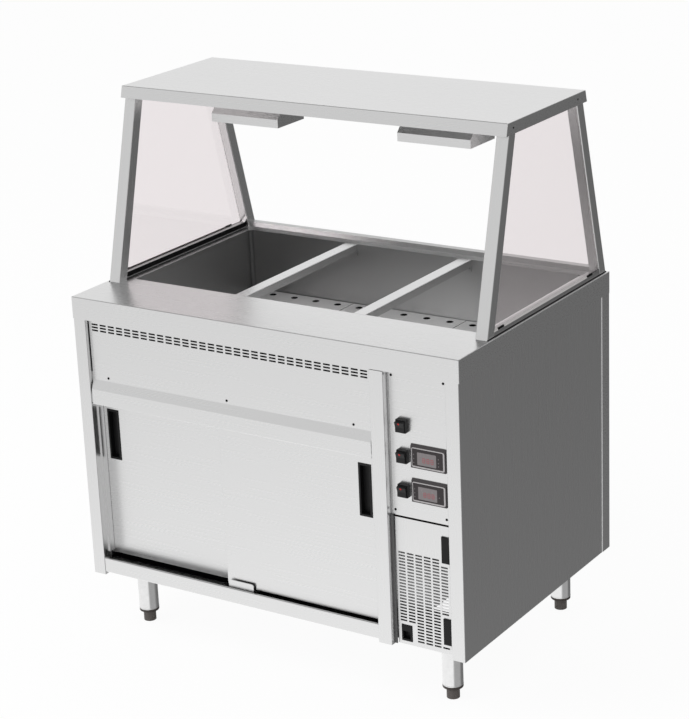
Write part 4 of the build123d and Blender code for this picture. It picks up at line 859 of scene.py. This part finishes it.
@dataclass
class ControlBay(SubAssembly):
    """Control panel with its switches and controllers, and the grille door under it.

    An edge is a corner radius, a rise and a bevel. A level is measured from a controller's sunk face.
    """

    screw_head: tuple[float, float] = (3.2, 1.8)
    screw_inset_x: float = 6.5
    screw_inset_z: float = 13.0
    bead_width: float = 3.9
    bead_gap: float = 0.8
    bead_sink: float = 0.1
    seal_size: tuple[float, float] = (10.6, 3.0)
    seal_inset: float = 9.0
    seal_proud: float = 4.6
    seal_foot: float = 0.2
    marker_radius: float = 2.5
    marker_rise: float = 0.3
    marker_root: float = 0.5
    marker_across: float = 0.46
    marker_height: float = 21.2
    marker_setback: float = 1.0
    rocker_tilt: float = 18.0
    case_size: tuple[float, float] = (92.5, 57.5)
    case_frame: float = 2.2
    case_brow: float = 6.5
    case_recess: float = 1.0
    membrane_gap: float = 0.2
    membrane_edge: tuple[float, float, float] = (1.0, 0.7, 0.1)
    print_levels: tuple[float, float] = (0.6, 0.8)
    line_inset: float = 0.3
    line_width: float = 3.0
    # The step's inner edge sits off centre, so the step is wider on the right and bottom: a painted
    # highlight.
    highlight_shift: tuple[float, float] = (-1.0, 0.5)
    line_corner: float = 5.0
    window_size: tuple[float, float] = (50.0, 31.0)
    window_corner: tuple[float, float] = (18.0, 17.0)
    window_edge: tuple[float, float, float] = (2.0, 0.25, 0.05)
    digit_size: tuple[float, float] = (7.2, 12.0)
    digit_corner: tuple[float, float] = (32.0, 29.0)
    digit_pitch: float = 10.8
    digit_count: int = 3
    digit_stroke: float = 1.4
    digit_gap: float = 0.6
    digit_edge: tuple[float, float, float] = (0.4, 0.1, 0.02)
    digit_level: float = 0.82
    key_radius: float = 1.5
    key_sides: int = 16
    left_keys: tuple[float, ...] = (24.0, 34.0, 43.5)
    left_key_x: float = 8.5
    right_keys: tuple[tuple[float, ...], ...] = ((25.5, 35.0, 43.0), (35.0,))
    right_key_x: float = 74.0

    def build(self) -> None:
        """Dresses the bay and adds screws, rocker markers and the controllers' faces."""
        self.dress(SHEET_X, "control_panel", "gear_plate")
        self.dress(SHEET_Z, "vent_door")
        self.dress(
            BLACK_ABS, "switch_bodies", "vent_door_pull", "hinge_door_leaves", "hinge_frame_leaves",
            "door_catch", "mains_gland",
        )
        self.dress(ROCKER_BLACK, "rocker_upper", "rocker_middle", "rocker_lower")
        self.dress(CASE_GREY, "controllers", "control_gear")
        self.panel_screws()
        self.seals()
        for name in ("upper", "middle", "lower"):
            self.marker(name)
        self.controller_faces()

    def panel_screws(self) -> None:
        """Sets one black screw near each corner of the panel."""
        low, high = self.limits("control_panel")
        head = button_head(*self.screw_head)
        heads = [
            placed(head, (x, low[1], z), Facing.FRONT.value)
            for x in (low[0] + self.screw_inset_x, high[0] - self.screw_inset_x)
            for z in (low[2] + self.screw_inset_z, high[2] - self.screw_inset_z)
        ]
        make_piece("panel_screws", heads, SCREW_BLACK, "cabinet")

    def seals(self) -> None:
        """Adds the grey sealant between the panel and the divider, coloured as painted shade, and the
        rubber seal at the bay's door.
        """
        low, high = self.limits("control_panel")
        front, back = low[1] + self.bead_sink, high[1] - self.bead_sink
        bead = box_outline(low[0] - self.bead_width, low[0] - self.bead_gap, front, back)
        make_piece("panel_sealant", [extruded(bead, low[2], high[2], Run.ALONG_Z)], GREY_SEALANT_SHADE, "cabinet")
        left, front = low[0] - self.seal_inset, low[1] - self.seal_proud
        strip = box_outline(left, left + self.seal_size[0], front, front + self.seal_size[1])
        foot = self.limits("divider_post")[0][2] + self.seal_foot
        make_piece("bay_seal", [extruded(strip, foot, low[2], Run.ALONG_Z)], RUBBER, "cabinet")

    def marker(self, name: str) -> None:
        """Sets the red marker on one rocker's upper face, which leans with the rocker.

        Args:
            name: upper, middle or lower.
        """
        low, high = self.limits(f"rocker_{name}")
        radius, root, rise = self.marker_radius, -self.marker_root, self.marker_rise
        dot = turned([(0, root), (radius, root), (radius, rise), (0, rise)])
        lean = math.radians(self.rocker_tilt)
        axes = ((1, 0, 0), (0, -math.sin(lean), math.cos(lean)), (0, -math.cos(lean), -math.sin(lean)))
        across = low[0] + self.marker_across * (high[0] - low[0])
        place = (across, low[1] + self.marker_setback, low[2] + self.marker_height)
        make_piece(f"marker_{name}", [placed(dot, place, axes)], MARKER_RED, f"{name}_rocker")

    def digit(self) -> list[Array]:
        """One figure of the display: seven bars, three across and four upright, about the figure's middle.

        Returns:
            A grid of points for each bar.
        """
        width, height = self.digit_size
        stroke = self.digit_stroke
        across = slab(width - stroke - self.digit_gap, stroke, *self.digit_edge)
        upright = slab(stroke, height / 2 - stroke / 2 - self.digit_gap, *self.digit_edge)
        side = (width - stroke) / 2
        level = (height - stroke) / 2
        bars = [across + (0, up, 0) for up in (-level, 0, level)]
        bars += [upright + (way * side, up, 0) for way in (-1, 1) for up in (-level / 2, level / 2)]
        return bars

    def controller_faces(self) -> None:
        """Adds each controller's membrane with its silver step, partly a painted highlight, and its window,
        figures and key marks.
        """
        low, high = self.limits("controllers")
        width, height = self.case_size
        inner = np.array([width - 2 * self.case_frame, height - self.case_frame - self.case_brow])
        floor = -self.case_recess
        middle = (width / 2, -(self.case_brow + inner[1] / 2), floor)
        base, face = self.print_levels
        window = np.array(self.window_corner) + np.array(self.window_size) / 2
        figure = np.array(self.digit_corner) + np.array(self.digit_size) / 2
        radius = self.key_radius
        mark = turned([(0, base), (radius, base), (radius, face), (0, face)], self.key_sides)
        tops = {"upper": (high[2], self.right_keys[0]), "lower": (low[2] + height, self.right_keys[1])}
        for name, (top, right_keys) in tops.items():
            corner = (low[0], low[1], top)
            sheet = slab(*(inner - 2 * self.membrane_gap), *self.membrane_edge) + middle
            self.face_piece(f"membrane_{name}", [sheet], MEMBRANE, corner)
            outer = inner - 2 * self.line_inset
            line = border(*outer, self.line_corner, self.line_width, self.print_levels, self.highlight_shift)
            self.face_piece(f"face_line_{name}", [line + middle], SILVER_AND_HIGHLIGHT, corner)
            pane = slab(*self.window_size, *self.window_edge) + (window[0], -window[1], floor + base)
            self.face_piece(f"window_{name}", [pane], WINDOW, corner)
            figures = [
                bar + (figure[0] + self.digit_pitch * place, -figure[1], floor + self.digit_level)
                for place in range(self.digit_count)
                for bar in self.digit()
            ]
            self.face_piece(f"figures_{name}", figures, SEGMENT_RED, corner)
            spots = [(self.left_key_x, down) for down in self.left_keys]
            spots += [(self.right_key_x, down) for down in right_keys]
            marks = [mark + (across, -down, floor) for across, down in spots]
            self.face_piece(f"key_marks_{name}", marks, KEY_GREY, corner)

    def face_piece(self, name: str, grids: list[Array], finish: Finish, corner: Sequence[float]) -> None:
        """Makes a piece of a controller's face, measured from the unit's top left corner.

        Args:
            name: the piece's name.
            grids: points along, up and out of the face.
            finish: what it is made of.
            corner: the unit's top left front corner.
        """
        make_piece(name, [placed(grid, corner, Facing.FRONT.value) for grid in grids], finish, "cabinet")


@dataclass
class Gantry(SubAssembly):
    """Posts, glass sides, rails, the folded shelf and the heat lamps under it."""

    glass_thick: float = 5.0
    glass_lean: float = 0.26
    glass_tuck: float = 6.0
    clip_size: tuple[float, float, float] = (28.0, 5.0, 3.0)
    clip_starts: tuple[float, ...] = (18.0, 465.0)
    clip_lip: float = 1.8
    clip_rise: float = 3.0
    clip_corner: float = 0.8
    clip_bevel: float = 0.4
    # Section of the black bead at a rail's foot, a painted shadow line.
    bead_size: float = 2.2
    bead_belly: float = 0.6
    gasket_wall: float = 0.4
    gasket_drop: float = 2.5
    gasket_reach: float = 2.45
    gasket_rise: float = 3.2
    gasket_seam: float = 0.02
    tape_thick: float = 0.6
    tape_inset: float = 1.2
    rail_width: float = 20.0
    screw_head: tuple[float, float] = (2.4, 1.2)
    screw_drop: float = 14.5
    screw_insets: tuple[float, float] = (33.0, 47.0)

    def build(self) -> None:
        """Dresses the gantry, and adds its glass, seals, clips and screws."""
        self.dress(TUBE, "posts_left", "posts_right", "lamp_stems")
        self.dress(RAIL, "base_rails")
        self.dress(SHEET_X, "gantry_shelf", "lamp_hoods")
        self.dress(QUARTZ, "lamp_tubes")
        self.glass_sides()
        self.rail_seals()
        self.rail_clips()
        self.shelf_screws()

    def glass_sides(self) -> None:
        """Glass panes as in the frame, but let into the shelf at their tops: leaning outlines, extruded."""
        low, high = self.limits("glass_panes")
        top = self.limits("gantry_shelf")[0][2] + self.glass_tuck
        lean = self.glass_lean * (top - low[2])
        outline = [(low[1], low[2]), (high[1], low[2]), (high[1] - lean, top), (low[1] + lean, top)]
        thick = self.glass_thick
        panes = [extruded(outline, start, start + thick) for start in (low[0], high[0] - thick)]
        piece = make_piece("glass_sides", panes, GLASS, "cabinet")
        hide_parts("glass_panes")

    def rail_seals(self) -> None:
        """Adds each side rail's gasket over its lip, a black bead at its foot as a painted shadow line, and
        tape on its inner face.
        """
        low, high = self.limits("base_rails")
        front, rear = (corner[1] for corner in self.limits("posts_right"))
        lip_top, seam = high[2], high[2] + self.gasket_seam
        belly = self.bead_belly * self.bead_size
        gaskets, beads, tapes = [], [], []
        for side, outer in ((-1, low[0]), (1, high[0])):
            hem, glass = outer + side * self.gasket_wall, outer - side * self.gasket_reach
            lip = box_outline(outer, hem, lip_top - self.gasket_drop, lip_top)
            peak = (glass, lip_top + self.gasket_rise)
            wedge = [(hem, seam), (hem, seam + self.gasket_wall), peak, (glass, seam)]
            for section in (lip, wedge):
                gaskets.append(extruded(section, low[1], low[1] + self.clip_starts[1], Run.ALONG_Y))
            # Black bead along the rail's foot: painted shadow where the rail meets the bench.
            bead = [
                (outer, low[2]), (outer + side * self.bead_size, low[2]),
                (outer + side * belly, low[2] + belly), (outer, low[2] + self.bead_size),
            ]
            beads.append(extruded(bead, front, rear, Run.ALONG_Y))
            inner = outer - side * self.rail_width
            face = box_outline(
                inner, inner - side * self.tape_thick, low[2] + self.tape_inset, lip_top - self.tape_inset
            )
            tapes.append(extruded(face, low[1], rear - self.rail_width - self.tape_inset, Run.ALONG_Y))
        make_piece("glazing_gasket", gaskets, GASKET, "cabinet")
        make_piece("rail_sealant", beads, BLACK_TRIM_AND_SHADE, "cabinet")
        make_piece("rail_tape", tapes, BLACK_TRIM_AND_SHADE, "cabinet")

    def rail_clips(self) -> None:
        """Sets two black clips over each side rail's outer lip."""
        low, high = self.limits("base_rails")
        length, height, rise = self.clip_size
        clip = slab(length, height, self.clip_corner, rise, self.clip_bevel)
        clips = []
        for facing, x in ((Facing.LEFT, low[0] + self.clip_lip), (Facing.RIGHT, high[0] - self.clip_lip)):
            for start in self.clip_starts:
                place = (x, low[1] + start + length / 2, high[2] + self.clip_rise - height / 2)
                clips.append(placed(clip, place, facing.value))
        make_piece("rail_clips", clips, BLACK_TRIM_AND_SHADE, "cabinet")

    def shelf_screws(self) -> None:
        """Sets two dark screws in each end of the shelf."""
        low, high = self.limits("gantry_shelf")
        head = button_head(*self.screw_head)
        heads = [
            placed(head, (x, y, high[2] - self.screw_drop), facing.value)
            for facing, x in ((Facing.LEFT, low[0]), (Facing.RIGHT, high[0]))
            for y in (low[1] + self.screw_insets[0], high[1] - self.screw_insets[1])
        ]
        make_piece("shelf_screws", heads, SCREW_BLACK, "cabinet")


@dataclass
class Legs(SubAssembly):
    """Tube legs on adjustable feet."""

    corners: tuple[str, ...] = ("front_left", "front_right", "rear_left", "rear_right")
    tube_radius: float = 25.4
    tube_end: float = 35.5
    rim_height: float = 3.0
    rim_proud: float = 0.35
    rim_root: float = 0.1
    rim_steps: int = 9
    rim_smooth: float = 80.0
    collar_gap: float = 0.2
    collar_height: float = 7.0
    collar_edge: float = 1.6
    edge_steps: int = 5
    pad_radius: float = 16.1
    round_sides: int = 48

    def build(self) -> None:
        """Dresses the legs and feet, and adds each tube's rolled rim and each foot's collar."""
        self.dress(LEG_TUBE, "legs")
        rims = []
        for corner in self.corners:
            node = f"foot_{corner}"
            self.dress(FOOT_GREY, node)
            low, high = self.limits(node)
            centre = (*(low + high)[:2] / 2, 0.0)
            rims.append(self.rim() + centre)
            # Each collar's dark colour is painted shade under the tube's end.
            make_piece(f"collar_{corner}", [self.collar() + centre], SHADED_COLLAR, f"{corner}_foot")
        make_piece("leg_rims", rims, LEG_TUBE, "cabinet", self.rim_smooth)

    def rim(self) -> Array:
        """Rolled end of the tube: half an ellipse that stands off the tube's wall, turned about the leg.

        Returns:
            Grid of points about the leg's axis.
        """
        turn = np.linspace(-math.pi / 2, math.pi / 2, self.rim_steps)
        half = self.rim_height / 2
        wall = self.tube_radius - self.rim_root
        reach = wall + (self.rim_proud + self.rim_root) * np.cos(turn)
        bulge = np.stack([reach, self.tube_end + half + half * np.sin(turn)], axis=1)
        return turned([*map(tuple, bulge), tuple(bulge[0])], self.round_sides)

    def collar(self) -> Array:
        """Collar of the foot: a straight side with a rounded lower edge, turned about the leg.

        Returns:
            Grid of points about the leg's axis.
        """
        top = self.tube_end - self.collar_gap
        low = top - self.collar_height
        turn = np.linspace(0, math.pi / 2, self.edge_steps)
        edge, side, pad = self.collar_edge, self.tube_radius, self.pad_radius
        foot = np.stack([side - edge + edge * np.sin(turn), low + edge - edge * np.cos(turn)], axis=1)
        profile = [(pad, top), (pad, low), *map(tuple, foot), (side, top), (pad, top)]
        return turned(profile, self.round_sides)


@dataclass(frozen=True)
class Step:
    """Eased change in the room's level: the way it is measured along, its span there and its two levels."""

    toward: tuple[float, float, float]
    span: tuple[float, float]
    levels: tuple[float, float]


@dataclass
class Studio:
    """White room as metal mirrors it, graded by steps, with one soft lamp and the camera.

    The room is bright ahead and on the left, grey on the right and dark behind the right. It brightens
    towards the floor and the far wall, and darkens high up, with a bright ceiling light straight overhead.
    """

    floor_size: float = 40.0
    floor_shadow: float = 0.06
    floor_colour: str = "F4F4F4"
    ambient: float = 0.75
    steps: tuple[Step, ...] = (
        Step((-0.83, -0.56, 0.6), (-0.55, -0.25), (0.39, 0.95)),
        Step((0.3, 0.95, -0.4), (0.75, 1.0), (1.0, 0.41)),
        Step((0.0, 0.0, 1.0), (-0.5, -0.25), (1.14, 0.77)),
        Step((0.0, 0.9, 0.44), (0.45, 0.85), (1.0, 1.24)),
        Step((0.0, 0.0, 1.0), (0.5, 0.72), (1.0, 0.15)),
        Step((0.0, 0.0, 1.0), (0.88, 0.97), (1.0, 5.0)),
        Step((0.0, 0.0, 1.0), (-0.95, -0.6), (1.1, 1.0)),
    )
    key_power: float = 90.0
    key_size: float = 3.0
    key_place: tuple[float, float, float] = (-2.2, -2.6, 4.2)
    key_aim: tuple[float, float, float] = (0.0, 0.0, 0.7)
    camera_place: tuple[float, float, float] = (2.864613, -4.329702, 2.477961)
    camera_turn: tuple[float, float, float] = (71.05114, 2.32364, 32.67855)
    camera_lens: float = 110.0077
    camera_sensor: float = 36.0
    camera_clip: tuple[float, float] = (0.1, 100.0)

    def build(self) -> None:
        """Builds the room, the light and the camera."""
        scene = bpy.context.scene
        scene.view_settings.view_transform = "Standard"
        self.world()
        self.floor()
        self.key()
        self.camera()

    def room(self, tree: Tree, way: Socket) -> Socket:
        """Level of the room in a reflection: the product of eased steps, each along its own way.

        Args:
            tree: node tree that gets the nodes.
            way: direction of unit length.

        Returns:
            Output socket with the level.
        """
        level: Any = 1.0
        for step in self.steps:
            share = add_node(tree, "VectorMath", {0: way, 1: step.toward}, operation="DOT_PRODUCT")
            eased = add_node(
                tree, "MapRange",
                {
                    "Value": share.outputs["Value"], "From Min": step.span[0], "From Max": step.span[1],
                    "To Min": step.levels[0], "To Max": step.levels[1],
                },
                interpolation_type="SMOOTHSTEP",
            )
            level = add_node(tree, "Math", {0: level, 1: eased}, operation="MULTIPLY").outputs[0]
        return level

    def chosen(self, tree: Tree, lit: float, mirrored: Socket) -> Socket:
        """Level by the kind of ray: 1 to the eye and through glass, graded in reflections, else as a light.

        Args:
            tree: node tree that gets the nodes.
            lit: level as a light.
            mirrored: level in reflections.

        Returns:
            Output socket with the level.
        """
        rays = add_node(tree, "LightPath").outputs
        seen = add_node(
            tree, "Math", {0: rays["Is Camera Ray"], 1: rays["Is Transmission Ray"]}, operation="MAXIMUM"
        )
        plain = add_node(tree, "Mix", {"Factor": seen, "A": lit, "B": 1.0})
        bounced = add_node(
            tree, "Math", {0: rays["Glossy Depth"], 1: rays["Is Glossy Ray"]}, operation="MAXIMUM"
        )
        shiny = add_node(tree, "Math", {0: bounced, 1: 0.5}, operation="GREATER_THAN")
        return add_node(tree, "Mix", {"Factor": shiny, "A": plain, "B": mirrored}).outputs[0]

    def world(self) -> None:
        """White to the eye, graded by side and height in reflections."""
        world = bpy.data.worlds.new("white_room")
        world.use_nodes = True
        tree = world.node_tree
        tree.nodes.clear()
        way = add_node(tree, "TexCoord").outputs["Generated"]
        level = self.chosen(tree, self.ambient, self.room(tree, way))
        sky = add_node(tree, "Background", {"Color": WHITE, "Strength": level})
        add_node(tree, "OutputWorld", {"Surface": sky})
        bpy.context.scene.world = world

    def floor(self) -> None:
        """Pale floor, white to the eye apart from the object's faint shadow; reflections look past it."""
        half = self.floor_size / 2
        sides = box_outline(-half, half, -half, half)
        mesh = bpy.data.meshes.new("floor")
        mesh.from_pydata([(x, y, 0.0) for x, y in sides], [], [(0, 1, 2, 3)])
        floor = bpy.data.objects.new("floor", mesh)
        bpy.context.collection.objects.link(floor)
        paint = bpy.data.materials.new("floor_white")
        paint.use_nodes = True
        tree = paint.node_tree
        tree.nodes.clear()
        white = add_node(tree, "Emission", {"Color": WHITE, "Strength": 1.0})
        matt = add_node(tree, "BsdfDiffuse", {"Color": linear(self.floor_colour)})
        rays = add_node(tree, "LightPath").outputs
        plain = add_node(
            tree, "Math", {0: rays["Is Camera Ray"], 1: 1 - self.floor_shadow}, operation="MULTIPLY"
        )
        share = add_node(tree, "Math", {0: rays["Is Transmission Ray"], 1: plain}, operation="MAXIMUM")
        mix = add_node(tree, "MixShader", {0: share, 1: matt, 2: white})
        add_node(tree, "OutputMaterial", {"Surface": mix})
        floor.visible_glossy = False
        mesh.materials.append(paint)

    def key(self) -> None:
        """One large soft lamp from the upper left front."""
        light = bpy.data.lights.new("soft_box", "AREA")
        light.energy = self.key_power
        light.size = self.key_size
        lamp = bpy.data.objects.new("soft_box", light)
        bpy.context.collection.objects.link(lamp)
        lamp.location = self.key_place
        toward = np.array(self.key_aim) - np.array(self.key_place)
        flat = math.hypot(toward[0], toward[1])
        lamp.rotation_euler = Euler((math.atan2(flat, -toward[2]), 0, math.atan2(-toward[0], toward[1])))
        lamp.visible_glossy = False

    def camera(self) -> None:
        """Camera where the photograph was taken from."""
        lens = bpy.data.cameras.new("camera")
        lens.lens = self.camera_lens
        lens.sensor_width = self.camera_sensor
        lens.clip_start, lens.clip_end = self.camera_clip
        camera = bpy.data.objects.new("camera", lens)
        bpy.context.collection.objects.link(camera)
        camera.location = self.camera_place
        camera.rotation_euler = Euler([math.radians(turn) for turn in self.camera_turn])
        bpy.context.scene.camera = camera


def corners(box: Sequence[Sequence[float]]) -> list[list[float]]:
    """Turns a box's two corners into plain lists."""
    return [[float(value) for value in corner] for corner in box]


def main() -> None:
    """Loads the frame, dresses every sub-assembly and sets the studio."""
    logging.basicConfig(level=logging.INFO, format="%(name)s %(message)s")
    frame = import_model()
    for group in (Cabinet, HotCupboard, WetWell, ControlBay, Gantry, Legs):
        group(frame).build()
    Studio().build()


if __name__ == "__main__":
    main()
